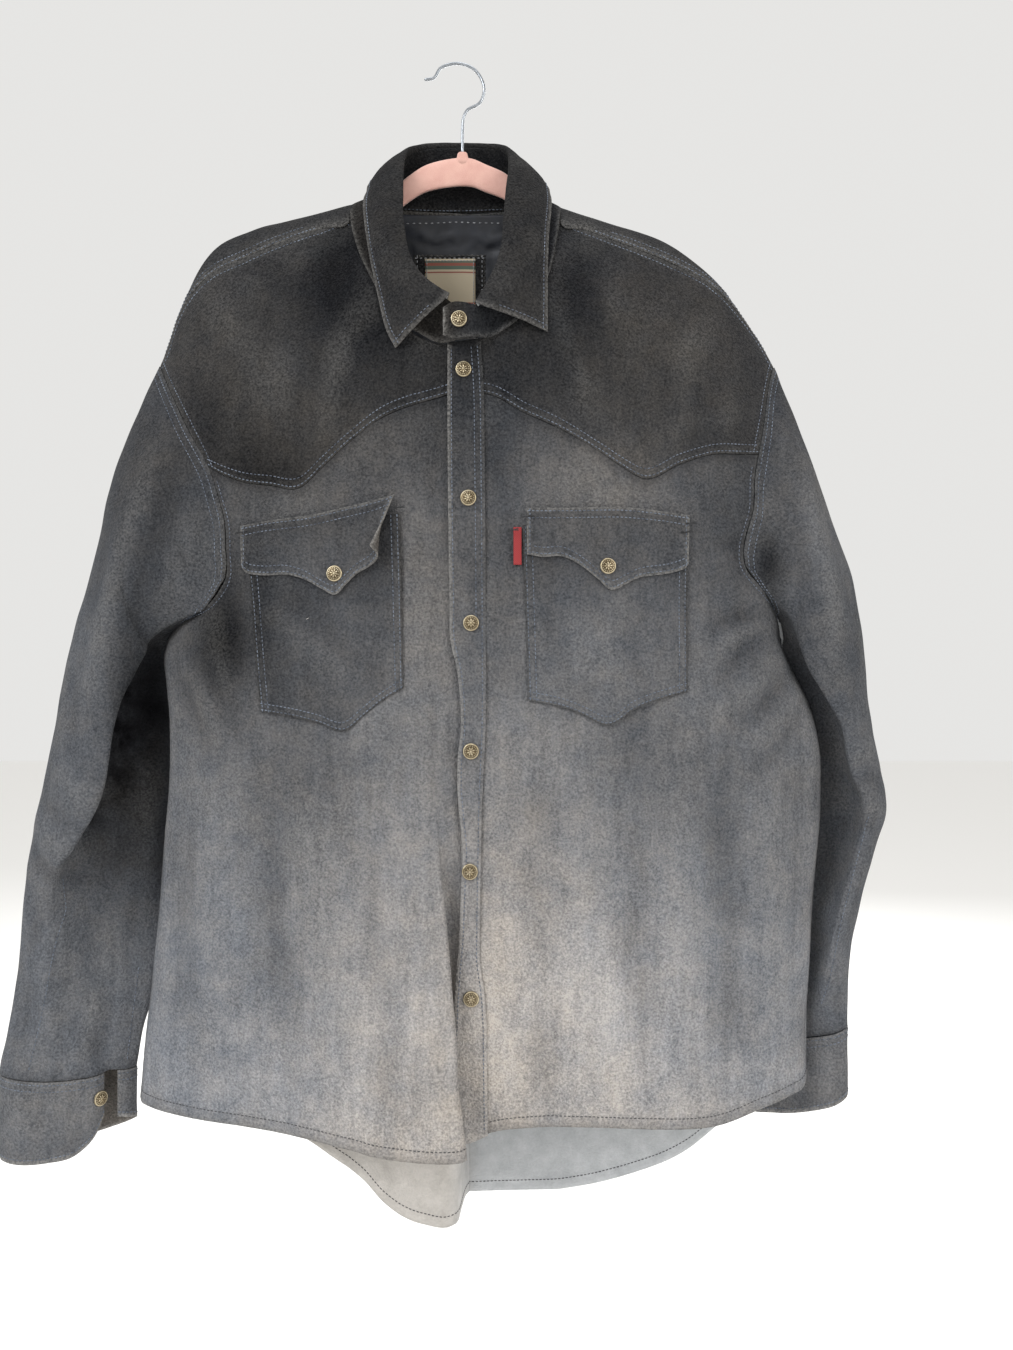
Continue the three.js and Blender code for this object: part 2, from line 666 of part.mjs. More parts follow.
const pockets = {
  right: {
    top: [[-169, 405], [-44, 390]],
    bottom: [[-155, 548], [-126, 552.5], [-107, 557], [-87, 563], [-71, 551], [-57, 539.5], [-40, 529]],
  },
  left: {
    top: [[54, 400], [187, 402]],
    bottom: [[58, 538.5], [85, 544], [102, 550.5], [121.5, 558.5], [142, 546], [157, 540], [185, 532]],
  },
};
const flaps = {
  right: {
    top: [[-171.5, 399], [-147, 395], [-119, 392], [-90, 386], [-68, 381], [-48, 375.5]],
    bottom: [
      [-171, 431], [-167, 436], [-154, 438.5], [-133, 438.5], [-119, 442.5], [-104, 451], [-95, 455],
      [-86, 446.5], [-78.5, 439], [-64, 430], [-61, 424], [-66, 417],
    ],
    curl: 9,
  },
  left: {
    top: [[57, 386], [85, 386], [128, 385], [187, 390.5]],
    bottom: [
      [57, 423], [70, 425], [85, 424.5], [99, 431], [113, 442], [124, 451], [137, 445.5], [146, 441],
      [171, 437], [183, 433], [186, 430],
    ],
    curl: 0,
  },
};

const POCKET_GAP = 0.8;
function pocket(side) {
  const { top, bottom } = pockets[side];
  const topAt = through(top);
  const columns = bottom.map(([lowX, lowDown], k) => {
    const highX = mix(top[0][0], top[1][0], k / (bottom.length - 1));
    const highDown = topAt(highX);
    const rows = Array.from({ length: 6 }, (_, j) => j / 5);
    return rows.map((v) => {
      const seat = onBody('front', mix(highX, lowX, v), mix(highDown, lowDown, v));
      return raised(seat, SUEDE + POCKET_GAP);
    });
  });
  return wall(columns);
}

const FLAP_LIFT = 2 * SUEDE + 2 * POCKET_GAP;
function flap(side) {
  const { top, bottom, curl } = flaps[side];
  const topAt = through(top);
  const [first, last] = [top[0][0], top[top.length - 1][0]];
  const columns = bottom.map(([lowX, lowDown], k) => {
    const share = k / (bottom.length - 1);
    const highX = mix(first, last, share);
    return [0, 0.33, 0.67, 1].map((v) => {
      const seat = onBody('front', mix(highX, lowX, v), mix(topAt(highX), lowDown, v));
      const turned = curl * ramp(0.72, 1, share) * v;
      return raised(seat, FLAP_LIFT + turned);
    });
  });
  return wall(columns);
}

['right', 'left'].forEach((side) => {
  add(`${side}_pocket`, pocket(side), GREY_SUEDE);
  add(`${side}_pocket_flap`, flap(side), DARK_SUEDE);
});

// Small folded tape in the seam beside the left pocket

function sideTape() {
  const [nearX, farX, topDown, lowDown] = [46.5, 53, 401, 431];
  const columns = [nearX, (nearX + farX) / 2, farX].map((x) => [0, 0.5, 1].map((v) => {
    return raised(onBody('front', x, mix(topDown, lowDown, v)), LINING_CLOTH + REST_GAP);
  }));
  return wall(columns, { thickness: LINING_CLOTH });
}

add('pocket_tape', sideTape(), RUST_TAPE);

// Collar: a stand on the neck seam and a leaf that rolls over and falls outside it.
// Each station is one section, from the right front end round the neck to the left front end.

const front = (x, down, lift) => raised(onBody('front', x, down), lift).p;
const LEAF_LIFT = COLLAR_CLOTH + 0.9;
const LEAF_OVER_STAND = LEAF_LIFT + COLLAR_CLOTH + 2;
const stations = [
  { base: front(-12, 249, 0), roll: point(-4, -67, -217), edge: front(-48, 257, LEAF_LIFT) },
  { base: front(-28, 241, 0), roll: point(-15.5, -66, -210), edge: front(-55, 243, LEAF_LIFT) },
  { base: front(-45, 230, 0), roll: point(-27, -62, -199), edge: front(-62, 216, LEAF_LIFT + 1) },
  { base: front(-59, 211, 0), roll: point(-36.5, -56, -181), edge: front(-69, 184, LEAF_OVER_STAND - 1) },
  { base: front(-69, 192, 0), roll: point(-41, -48, -156), edge: front(-74, 155, LEAF_OVER_STAND) },
  { base: front(-80, 168, 0), roll: point(-43.5, -34, -127), edge: front(-77, 131, LEAF_OVER_STAND) },
  { base: front(-88, 142, 0), roll: point(-44.6, -20, -98), edge: point(-77, -10, -113), sag: 5 },
  { base: overRidge(-87, 0).p, roll: point(-43, -2, -74), edge: point(-74, 6, -101), sag: 8 },
  { base: overRidge(-82, 4).p, roll: point(-40.3, 5, -67), edge: point(-67, 16, -105), sag: 6 },
  { base: overRidge(-74, 9).p, roll: point(-36, 12, -62), edge: point(-58, 24, -109), sag: 4 },
  { base: overRidge(-58, 14).p, roll: point(-30.5, 16.6, -59), edge: point(-48, 28.5, -115), sag: 1 },
  { base: overRidge(-38, 18).p, roll: point(-22, 20, -57), edge: point(-34, 31, -118) },
  { base: overRidge(0, 22).p, roll: point(0, 23, -55), edge: point(0, 33, -119) },
  { base: overRidge(38, 18).p, roll: point(24, 20, -57), edge: point(36, 31, -119) },
  { base: overRidge(57, 14).p, roll: point(31.8, 16.6, -59), edge: point(50, 28.5, -117), sag: 1 },
  { base: overRidge(72, 9).p, roll: point(37, 12, -62), edge: point(60, 24, -111), sag: 4 },
  { base: overRidge(76, 7).p, roll: point(39, 8.8, -64.3), edge: point(64.5, 20.5, -109), sag: 5 },
  { base: overRidge(80, 4).p, roll: point(40.5, 5.5, -67.5), edge: point(68, 16, -107), sag: 6 },
  { base: overRidge(84, 0).p, roll: point(42, -1, -75), edge: point(74, 6, -103), sag: 8 },
  { base: front(85, 142, 0), roll: point(42.5, -20, -98), edge: point(78, -10, -115), sag: 5 },
  { base: front(81, 164, 0), roll: point(40, -32, -124), edge: front(77, 133, LEAF_OVER_STAND) },
  { base: front(75, 190, 0), roll: point(38, -45, -150), edge: front(75, 158, LEAF_OVER_STAND) },
  { base: front(66, 209, 0), roll: point(36.5, -54, -176), edge: front(74, 186, LEAF_OVER_STAND - 1) },
  { base: front(54, 225, 0), roll: point(31, -60, -195), edge: front(74, 214, LEAF_LIFT) },
  { base: front(41, 236, 0), roll: point(24, -65, -210), edge: front(74, 229, LEAF_LIFT) },
  { base: front(28, 244, 0), roll: point(16, -68, -224), edge: front(74, 243, LEAF_LIFT) },
];
const NECK_CENTRE = point(4, -28, -95);
const STAND_INSET = COLLAR_CLOTH + 1.8;
const ROLL_RADIUS = 3.2;
const LEAF_BULGE = 4;

// One section: up the stand from its foot, over the half-round roll and down the leaf to its edge.
function collarSection({ base, roll, edge, sag = 0 }, along) {
  const inwards = NECK_CENTRE.clone().sub(base).normalize();
  const foot = base.clone().addScaledVector(inwards, STAND_INSET);
  const away = roll.clone().sub(NECK_CENTRE).setZ(0).normalize();
  const upStand = roll.clone().sub(foot).normalize();
  const upLeaf = roll.clone().sub(edge).normalize();
  const crest = upStand.add(upLeaf).normalize();
  const across = along.clone().cross(crest).normalize();
  across.multiplyScalar(Math.sign(across.dot(away)));
  const besideRoll = (way) => (
    roll.clone().addScaledVector(across, way * ROLL_RADIUS).addScaledVector(crest, -1.3 * ROLL_RADIUS)
  );
  const standTop = besideRoll(-1);
  const leafTop = besideRoll(1);
  const leafOut = roll.y > 0 ? away : point(0, -1, 0).lerp(away, 0.5).normalize();
  return new THREE.CatmullRomCurve3([
    foot,
    foot.clone().lerp(standTop, 0.5).add(point(0, 0, -sag)),
    standTop,
    roll,
    leafTop,
    leafTop.clone().lerp(edge, 0.5).addScaledVector(leafOut, LEAF_BULGE),
    edge,
  ], false, 'centripetal');
}

const STAND_SHARES = [0, 0.11, 0.22, 0.32];
const LEAF_SHARES = [0.32, 0.4, 0.45, 0.5, 0.55, 0.6, 0.68, 0.78, 0.89, 1];
const COLLAR_SHARES = [...STAND_SHARES.slice(0, -1), ...LEAF_SHARES];
const LEAF_START = STAND_SHARES.length - 1;

const collarGrid = faced(stations.map((station, k) => {
  const before = stations[Math.max(k - 1, 0)].roll;
  const after = stations[Math.min(k + 1, stations.length - 1)].roll;
  const section = collarSection(station, after.clone().sub(before));
  return COLLAR_SHARES.map((share) => section.getPoint(share));
}));

const copied = (cells) => cells.map(({ p, n }) => ({ p: p.clone(), n: n.clone() }));

function collarLeaf() {
  const grid = collarGrid.map((cells) => copied(cells.slice(LEAF_START)));
  return wall(trimmed(grid, ['top'], SEAM_GAP), { thickness: COLLAR_CLOTH });
}

// The stand's two ends lap at the centre front, the left one outside, under the top snap.
function collarStand() {
  const rows = collarGrid.map((cells) => copied(cells.slice(0, LEAF_START + 1)));
  const lap = (x, y, topDown, lowDown) => STAND_SHARES.map((_, j) => (
    point(x, y + j * -0.5, -mix(lowDown, topDown, j / (STAND_SHARES.length - 1)))
  ));
  const before = [lap(18, -58, 227, 246), lap(4, -60, 227, 247)];
  const after = [lap(14, -66.5, 226, 247), lap(-2, -67.5, 225, 249), lap(-9, -67, 229, 246)];
  const ends = faced([...before, ...after]);
  const grid = [...ends.slice(0, before.length), ...rows, ...ends.slice(before.length)];
  return wall(trimmed(grid, ['bottom'], SEAM_GAP), { thickness: COLLAR_CLOTH });
}

add('collar_leaf', collarLeaf(), DARK_SUEDE);
add('collar_stand', collarStand(), DARK_SUEDE);

// Lining inside the back yoke, with the label patch and label that show in the neck opening

function insideBack(x, down, depth) {
  const { p, n } = onBody('back', x, down);
  return { p: p.addScaledVector(n, -depth), n: n.clone().negate() };
}

function insideSheet({ left, right, top, low, depth, columns, rows }) {
  const grid = Array.from({ length: columns + 1 }, (_, i) => (
    Array.from({ length: rows + 1 }, (__, j) => (
      insideBack(mix(left, right, i / columns), mix(top, low, j / rows), depth + LINING_CLOTH)
    ))
  ));
  return wall(grid, { thickness: LINING_CLOTH });
}

const LINING_DEPTH = SUEDE + 0.8;
const PATCH_DEPTH = LINING_DEPTH + LINING_CLOTH + 0.4;
const LABEL_DEPTH = PATCH_DEPTH + LINING_CLOTH + 0.3;
add('yoke_lining', insideSheet({
  left: -62, right: 64, top: 125, low: 262, depth: LINING_DEPTH, columns: 10, rows: 6,
}), NAVY_SATIN);
add('label_patch', insideSheet({
  left: -40, right: 23, top: 152, low: 206, depth: PATCH_DEPTH, columns: 4, rows: 3,
}), DARK_SUEDE);
add('neck_label', insideSheet({
  left: -30, right: 14, top: 156, low: 200, depth: LABEL_DEPTH, columns: 4, rows: 3,
}), CREAM_LABEL);

// Sleeves: one cut piece each, closed by one underarm seam, as rings from the armhole to the cuff.
// A ring runs from the outer fold over the front lobe to its rolled edge, tucks back to the
// deeper layer, goes on to the hidden inner fold and returns along the back.

const sleeveRings = {
  right: [
    { outer: [-290, -2, 345], lobe: [-255, -24, 487], inner: [-241, 14, 502], tuck: 16, front: 26, back: 14 },
    { outer: [-303, -2, 400], lobe: [-257, -30, 502], inner: [-234, 22, 540], tuck: 24, front: 24, back: 16 },
    { outer: [-318, 0, 455], lobe: [-270, -34, 530], inner: [-228, 28, 580], tuck: 32, front: 20, back: 14 },
    { outer: [-332, 0, 515], lobe: [-281, -34, 566], inner: [-225, 31, 625], tuck: 36, front: 16, back: 12 },
    { outer: [-346, 0, 583], lobe: [-290, -32, 612], inner: [-228, 31, 668], tuck: 36, front: 14, back: 11 },
    { outer: [-358, 0, 637], lobe: [-310, -26, 650], inner: [-238, 29, 706], tuck: 28, front: 12, back: 10 },
    { outer: [-366, 0, 684], lobe: [-338, -16, 690], inner: [-250, 24, 738], tuck: 8, front: 8, back: 10 },
    { outer: [-371, 0, 742], lobe: [-340, -16, 750], inner: [-262, 18, 774], tuck: 0, front: 5, back: 9 },
    { outer: [-379, 0, 800], lobe: [-346, -16, 806], inner: [-269, 12, 814], tuck: 0, front: 5, back: 8 },
  ],
  left: [
    { outer: [290, -2, 313], lobe: [278, -22, 470], inner: [277, 14, 494], tuck: 14, front: 26, back: 14 },
    { outer: [312, -2, 375], lobe: [283, -28, 490], inner: [273, 20, 517], tuck: 20, front: 24, back: 16 },
    { outer: [333, 0, 432], lobe: [289, -32, 512], inner: [261, 26, 560], tuck: 26, front: 20, back: 14 },
    { outer: [343, 0, 490], lobe: [301, -32, 534], inner: [248, 31, 608], tuck: 24, front: 16, back: 13 },
    { outer: [349, 0, 548], lobe: [319, -26, 563], inner: [241, 34, 650], tuck: 18, front: 12, back: 12 },
    { outer: [357, 0, 593], lobe: [328, -20, 598], inner: [236, 35, 686], tuck: 16, front: 10, back: 11 },
    { outer: [363, 0, 625], lobe: [340, -17, 628], inner: [233, 35, 710], tuck: 10, front: 8, back: 10 },
    { outer: [354, 0, 662], lobe: [332, -16, 667], inner: [232, 34, 735], tuck: 10, front: 8, back: 10 },
    { outer: [343, 0, 706], lobe: [320, -15, 711], inner: [232, 33, 758], tuck: 10, front: 8, back: 10 },
    { outer: [332, 0, 757], lobe: [308, -14, 765], inner: [233, 32, 787], tuck: 10, front: 7, back: 9 },
  ],
};

const at = ([x, y, down]) => point(x, y, -down);
const shifted = (p, y) => point(p.x, p.y + y, p.z);
const lowered = (p, drop) => point(p.x, p.y, p.z - drop);
const FOLD_RADIUS = 2.4;

function sleeveKeys({ outer, lobe, inner, tuck, front: swell, back }) {
  const [o, l, i] = [at(outer), at(lobe), at(inner)];
  const across = l.clone().sub(o).setY(0).normalize();
  const valley = mix(l.y, i.y, 0.45);
  const inwards = (distance) => l.clone().addScaledVector(across, distance);
  const turned = inwards(10 - 0.75 * tuck).setY(mix(l.y, valley, 0.5));
  const tucked = inwards(20 - 1.25 * tuck).setY(valley);
  return [
    shifted(o, -FOLD_RADIUS),
    shifted(o.clone().lerp(l, 0.3), -swell),
    shifted(o.clone().lerp(l, 0.75), -0.7 * swell),
    l,
    turned,
    tucked,
    l.clone().lerp(i, 0.6).setY(mix(valley, i.y, 0.7)),
    shifted(i, -FOLD_RADIUS),
    shifted(i, FOLD_RADIUS),
    shifted(i.clone().lerp(o, 0.25), back),
    shifted(i.clone().lerp(o, 0.6), back),
    shifted(i.clone().lerp(o, 0.9), 0.6 * back),
    shifted(o, FOLD_RADIUS),
  ];
}

// The sleeve's end and its cuff, round the wrist from the outer fold: [x, y, top, bottom].
const wrists = {
  right: [
    [-389, 0, 854, 924], [-384, -10, 855, 926], [-368, -18, 856, 927], [-343, -20, 857, 925],
    [-318, -17, 856, 919], [-304, -12, 855, 905], [-299, -5, 854, 890], [-289, -2, 853, 893],
    [-280, 0, 853, 894], [-275, 6, 852, 896], [-295, 13, 852, 906], [-325, 16, 853, 916],
    [-360, 14, 854, 922], [-382, 9, 854, 924],
  ],
  left: [
    [331, 1, 815, 873], [328, -5, 817, 876], [318, -7, 821, 882], [302, 0, 826, 889],
    [290, 6, 829, 893], [280, 10, 830, 895], [270, 14, 831, 896], [258, 18, 832, 897],
    [247, 22, 832, 896], [236, 30, 832, 891], [250, 37, 831, 893], [280, 32, 827, 890],
    [312, 20, 819, 880], [326, 9, 815, 874],
  ],
};

// Points between keys: three over the lobe, fewer in the tuck and round the inner fold.
const KEY_STEPS = [3, 3, 3, 1, 2, 1, 2, 1, 1, 2, 2, 1, 1];
const WRIST_STEPS = [3, 3, 3, 1, 1, 1, 1, 1, 1, 2, 2, 2, 1, 1];

function sampledRing(keys, keySteps) {
  const curve = new THREE.CatmullRomCurve3(keys, true, 'centripetal');
  return keySteps.flatMap((steps, k) => (
    Array.from({ length: steps }, (_, s) => curve.getPoint((k + s / steps) / keys.length))
  ));
}

const wristRing = (side, drop) => (
  sampledRing(wrists[side].map(([x, y, top, low]) => point(x, y, -mix(top, low, drop))), WRIST_STEPS)
);

function armholeRing(side) {
  const { yokeDowns, lowerDowns } = frontArmholeDowns(side);
  const frontCells = [...yokeDowns, ...lowerDowns].map((down) => armholePoint('front', side, down));
  const lobe = frontCells[frontCells.length - 1];
  const armpit = armholePoint('front', side, ARMPIT[side].down);
  const tuckCells = [1, 2, 3, 4, 5].map((k) => ({
    p: lobe.p.clone().lerp(armpit.p, k / 6),
    n: lobe.n.clone().lerp(armpit.n, k / 6).normalize(),
  }));
  const backDowns = [0.84, 0.62, 0.33, 0].map((v) => mix(BACK_YOKE_END, ARMPIT[side].down, v));
  const tip = ridgeDown(SHOULDER_TIP[side]);
  const yokeBackDowns = [0.46, 0.12].map((v) => mix(tip, BACK_YOKE_END, v));
  const between = (mix(backDowns[0], ARMPIT[side].down, 0.5));
  const backCells = [between, ...backDowns, ...yokeBackDowns].map((down) => armholePoint('back', side, down));
  return [...frontCells, ...tuckCells, armpit, ...backCells];
}

function sleeve(side) {
  const rings = sleeveRings[side].map((ring) => sampledRing(sleeveKeys(ring), KEY_STEPS));
  rings.push(wristRing(side, 0));
  const hole = armholeRing(side);
  const lines = hole.map((cell, k) => (
    new THREE.CatmullRomCurve3([cell.p, ...rings.map((ring) => ring[k])], false, 'centripetal')
  ));
  const steps = 2 * rings.length - 4;
  const points = lines.map((line) => Array.from({ length: steps + 1 }, (_, s) => line.getPoint(s / steps)));
  const grid = faced(points, { closed: true, sign: side === 'right' ? -1 : 1 });
  grid.forEach((column, k) => {
    column[0].n = hole[k].n;
  });
  return wall(trimmed(grid, ['top'], SEAM_GAP), { closed: true });
}

add('right_sleeve', sleeve('right'), GREY_SUEDE);
add('left_sleeve', sleeve('left'), GREY_SUEDE);

// Cuffs: a band round the wrist under the sleeve's end. The right one is open beside its snap.

const CUFF_SEAM = 0.8;
const CUFF_ROWS = [0, 0.35, 1];
const OPENING_POINT = 12;

function cuff(side) {
  const rows = CUFF_ROWS.map((v) => wristRing(side, v));
  const ring = rows[0].map((_, k) => rows.map((row, j) => lowered(row[k], j === 0 ? CUFF_SEAM : 0)));
  const closed = side === 'left';
  const columns = closed ? ring : [...ring.slice(OPENING_POINT + 1), ...ring.slice(0, OPENING_POINT + 1)];
  return wall(faced(columns, { closed, sign: side === 'right' ? -1 : 1 }), { closed });
}

add('right_cuff', cuff('right'), GREY_SUEDE);
add('left_cuff', cuff('left'), GREY_SUEDE);

// Snaps: domed caps on a thin rim, each seated on the surface under it

function snapCap() {
  const [r, h] = [SNAP_RADIUS, SNAP_HEIGHT];
  const profile = [
    [0, 0], [0.8 * r, 0], [r, 0.2 * h], [r, 0.5 * h], [0.82 * r, 0.8 * h], [0.45 * r, 0.97 * h], [0, h],
  ];
  const geometry = new THREE.LatheGeometry(profile.map(([x, y]) => new THREE.Vector2(x, y)), 14);
  geometry.deleteAttribute('uv');
  geometry.deleteAttribute('normal');
  return geometry;
}

function addSnap(name, { p, n }) {
  const snap = add(name, snapCap(), OLD_BRASS);
  snap.quaternion.setFromUnitVectors(point(0, 1, 0), n);
  snap.position.copy(p).addScaledVector(n, SEAM_GAP);
  return snap;
}

const PLACKET_SNAPS = [[6.6, 274.5], [10.7, 378], [13, 477.5], [13, 578.5], [12.2, 673], [13, 774]];
PLACKET_SNAPS.forEach(([x, down], k) => {
  const seat = onBody('front', CENTRE_X + 0.1, down);
  const onPlacket = { p: point(x, seat.p.y, -down), n: seat.n };
  addSnap(`placket_snap_${k + 1}`, raised(onPlacket, SUEDE + REST_GAP + 0.05));
});
addSnap('collar_snap', { p: point(3.6, -70, -238.5), n: point(0, -1, 0) });
addSnap('right_flap_snap', raised(onBody('front', -95.5, 438), FLAP_LIFT + 0.1));
addSnap('left_flap_snap', raised(onBody('front', 121.5, 432), FLAP_LIFT + 0.1));
addSnap('right_cuff_snap', { p: point(-301.3, -8.3, -875), n: point(0.81, -0.58, 0).normalize() });

// Hanger: one flat flocked body with rounded edges, and a bent wire hook

const armTop = through([
  [-207, 170], [-201, 160], [-180, 148.5], [-131, 136], [-108, 132], [-91, 129.5], [-80, 126],
  [-70, 121], [-60, 112.5], [-47, 98.5], [-24, 84], [-3, 79.5], [3.5, 79], [10, 79.5], [24, 85], [41, 93],
  [56, 112], [68, 121], [80, 127], [90, 131.5], [106, 136], [136, 145.5], [180, 160.5], [200, 172],
  [206, 181],
]);
const armHeight = through([
  [-207, 6], [-201, 14], [-131, 18], [-40, 22], [3.5, 24], [50, 22], [136, 18], [200, 14], [206, 6],
]);
const NUB = { x: 3.6, top: 74.8, width: 9 };

function hangerBody() {
  const stops = [-207, -204, -198, -188, -160, -131, -108, -91, -70, -47, -34, -24, -14, -6];
  const rightStops = [13, 20, 30, 41, 60, 86, 106, 136, 165, 185, 197, 203, 206];
  const outline = new THREE.Shape();
  const start = stops[0];
  outline.moveTo(start, -armTop(start));
  stops.slice(1).forEach((x) => outline.lineTo(x, -armTop(x)));
  outline.lineTo(NUB.x - NUB.width / 2, -NUB.top - 1.5);
  outline.lineTo(NUB.x - NUB.width / 2 + 1.5, -NUB.top);
  outline.lineTo(NUB.x + NUB.width / 2 - 1.5, -NUB.top);
  outline.lineTo(NUB.x + NUB.width / 2, -NUB.top - 1.5);
  rightStops.forEach((x) => outline.lineTo(x, -armTop(x)));
  const under = [...stops, NUB.x, ...rightStops].reverse();
  under.forEach((x) => outline.lineTo(x, -armTop(x) - armHeight(x)));
  const bevel = 0.9;
  const geometry = new THREE.ExtrudeGeometry(outline, {
    depth: HANGER_THICKNESS - 2 * bevel,
    bevelThickness: bevel,
    bevelSize: bevel,
    bevelOffset: -bevel,
    bevelSegments: 1,
  });
  geometry.translate(0, 0, bevel - HANGER_THICKNESS / 2);
  geometry.rotateX(Math.PI / 2);
  return geometry;
}

function hangerHook() {
  const path = new THREE.CatmullRomCurve3([
    point(-28.5, 0, -12.5), point(-20.6, 0, -10.8), point(-14.7, 0, -2.4), point(0, 0, HOOK_WIRE_RADIUS),
    point(14.2, 0, -4.3), point(21.9, 0, -18.7), point(18.8, 0, -31.5), point(7.6, 0, -38.6),
    point(4.4, 0, -45.5), point(NUB.x, 0, -58), point(NUB.x, 0, -NUB.top + SEAM_GAP),
  ], false, 'centripetal');
  const section = new THREE.Shape();
  section.absarc(0, 0, HOOK_WIRE_RADIUS, 0, 2 * Math.PI);
  return new THREE.ExtrudeGeometry(section, { steps: 44, extrudePath: path, curveSegments: 4 });
}

add('hanger_body', hangerBody(), PINK_FLOCK);
add('hanger_hook', hangerHook(), BRIGHT_WIRE);

export default garment;
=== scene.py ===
import math

import bpy
import numpy as np
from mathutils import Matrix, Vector
from mathutils.bvhtree import BVHTree


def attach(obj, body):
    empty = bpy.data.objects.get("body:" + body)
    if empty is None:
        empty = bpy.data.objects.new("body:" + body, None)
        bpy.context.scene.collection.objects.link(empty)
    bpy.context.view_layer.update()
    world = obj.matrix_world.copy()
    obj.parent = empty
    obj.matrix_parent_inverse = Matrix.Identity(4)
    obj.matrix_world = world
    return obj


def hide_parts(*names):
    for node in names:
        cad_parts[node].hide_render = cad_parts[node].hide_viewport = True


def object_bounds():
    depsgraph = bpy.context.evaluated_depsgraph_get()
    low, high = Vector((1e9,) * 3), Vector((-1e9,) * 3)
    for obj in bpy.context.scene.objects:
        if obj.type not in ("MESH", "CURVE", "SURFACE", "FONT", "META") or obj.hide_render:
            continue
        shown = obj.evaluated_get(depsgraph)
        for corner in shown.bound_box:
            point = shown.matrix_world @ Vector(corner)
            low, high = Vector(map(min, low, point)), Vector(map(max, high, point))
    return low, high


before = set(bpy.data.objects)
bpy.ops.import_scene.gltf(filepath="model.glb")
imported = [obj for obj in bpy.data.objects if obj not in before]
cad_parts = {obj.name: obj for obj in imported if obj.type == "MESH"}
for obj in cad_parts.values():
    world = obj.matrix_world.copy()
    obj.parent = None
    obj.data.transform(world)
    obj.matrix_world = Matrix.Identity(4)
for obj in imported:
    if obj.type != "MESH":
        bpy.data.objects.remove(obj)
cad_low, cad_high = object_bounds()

# Camera, floor and light
# The jacket hangs from its hook and is looked at level, from as near as a phone is held.
# The floor is plain and pale; broad soft lamps stand above, beside and behind.

EYE = (0.041, -0.935, -0.5185)
LENS = 29.33
FLOOR_DROP = 0.32
FLOOR_REACH = 9
WORLD_STRENGTH = 0.92
WORLD_COLOUR = (0.86, 0.855, 0.84, 1)
FLOOR_COLOUR = (0.96, 0.95, 0.93, 1)

camera_data = bpy.data.cameras.new("camera")
camera_data.lens = LENS
camera_data.clip_start, camera_data.clip_end = 0.05, 60
camera = bpy.data.objects.new("camera", camera_data)
camera.location = EYE
camera.rotation_euler = (math.pi / 2, 0, 0)
bpy.context.collection.objects.link(camera)
bpy.context.scene.camera = camera
bpy.context.scene.view_settings.view_transform = "Standard"


def lamp(name, place, aim, size, power, colour):
    data = bpy.data.lights.new(name, "AREA")
    data.shape = "DISK"
    data.size, data.energy, data.color = size, power, colour
    source = bpy.data.objects.new(name, data)
    source.location = place
    source.rotation_euler = (Vector(aim) - Vector(place)).to_track_quat("-Z", "Y").to_euler()
    bpy.context.collection.objects.link(source)


CHEST = (0.02, -0.04, -0.5)
lamp("window_left", (-1.7, -1.9, 0.9), CHEST, 1.5, 50, (0.96, 0.98, 1.0))
lamp("window_right", (1.9, -1.6, 0.2), CHEST, 1.6, 24, (1.0, 0.98, 0.95))
lamp("sky", (0.1, -0.5, 1.9), CHEST, 1.6, 18, (0.97, 0.98, 1.0))
lamp("behind", (0.4, 2.3, 0.6), CHEST, 1.8, 45, (0.98, 0.99, 1.0))

world = bpy.data.worlds.new("pale_room")
bpy.context.scene.world = world
world.use_nodes = True
world.node_tree.nodes["Background"].inputs["Color"].default_value = WORLD_COLOUR
world.node_tree.nodes["Background"].inputs["Strength"].default_value = WORLD_STRENGTH

floor_z = cad_low[2] - FLOOR_DROP
floor_mesh = bpy.data.meshes.new("floor")
corners = [(x * FLOOR_REACH, y * FLOOR_REACH, floor_z) for x, y in ((-1, -1), (1, -1), (1, 1), (-1, 1))]
floor_mesh.from_pydata(corners, [], [(0, 1, 2, 3)])
floor = bpy.data.objects.new("floor", floor_mesh)
bpy.context.collection.objects.link(floor)
floor_paint = bpy.data.materials.new("pale_floor")
floor_paint.use_nodes = True
floor_shader = floor_paint.node_tree.nodes["Principled BSDF"]
floor_shader.inputs["Base Color"].default_value = FLOOR_COLOUR
floor_shader.inputs["Roughness"].default_value = 0.8
floor_mesh.materials.append(floor_paint)

# Front yokes
# Two suede pieces from the shoulder seam down to a pointed western seam, cut apart at the
# centre front. They are sewn over the panels below with two rows of topstitching. What every
# cloth piece needs starts here: the form the jacket hangs in, its creases, its fade with its
# painted light and shade, and its nap.
# Lengths are millimetres until a mesh is made, and "down" is measured from the hook.

MM = 0.001
SUEDE = 1.5
SEAM_GAP = 0.3
CENTRE_X = 8
CLOTH_STEP = 3.4
SHOULDER_TIP = {"right": -253.5, "left": 268}
NECK_CORNER = {"right": -88, "left": 85}
ARMPIT = {"right": (-240, 478), "left": (270, 466)}
SIDES = ("right", "left")
FACING = {"right": -1, "left": 1}


def smooth_span(s, span, low, high, leaving, arriving):
    """A value on the smooth curve across one span, with s from 0 to 1 and a slope at each end."""
    early = (1 + 2 * s) * (1 - s) ** 2 * low + s * (1 - s) ** 2 * span * leaving
    late = s * s * (3 - 2 * s) * high - s * s * (1 - s) * span * arriving
    return early + late


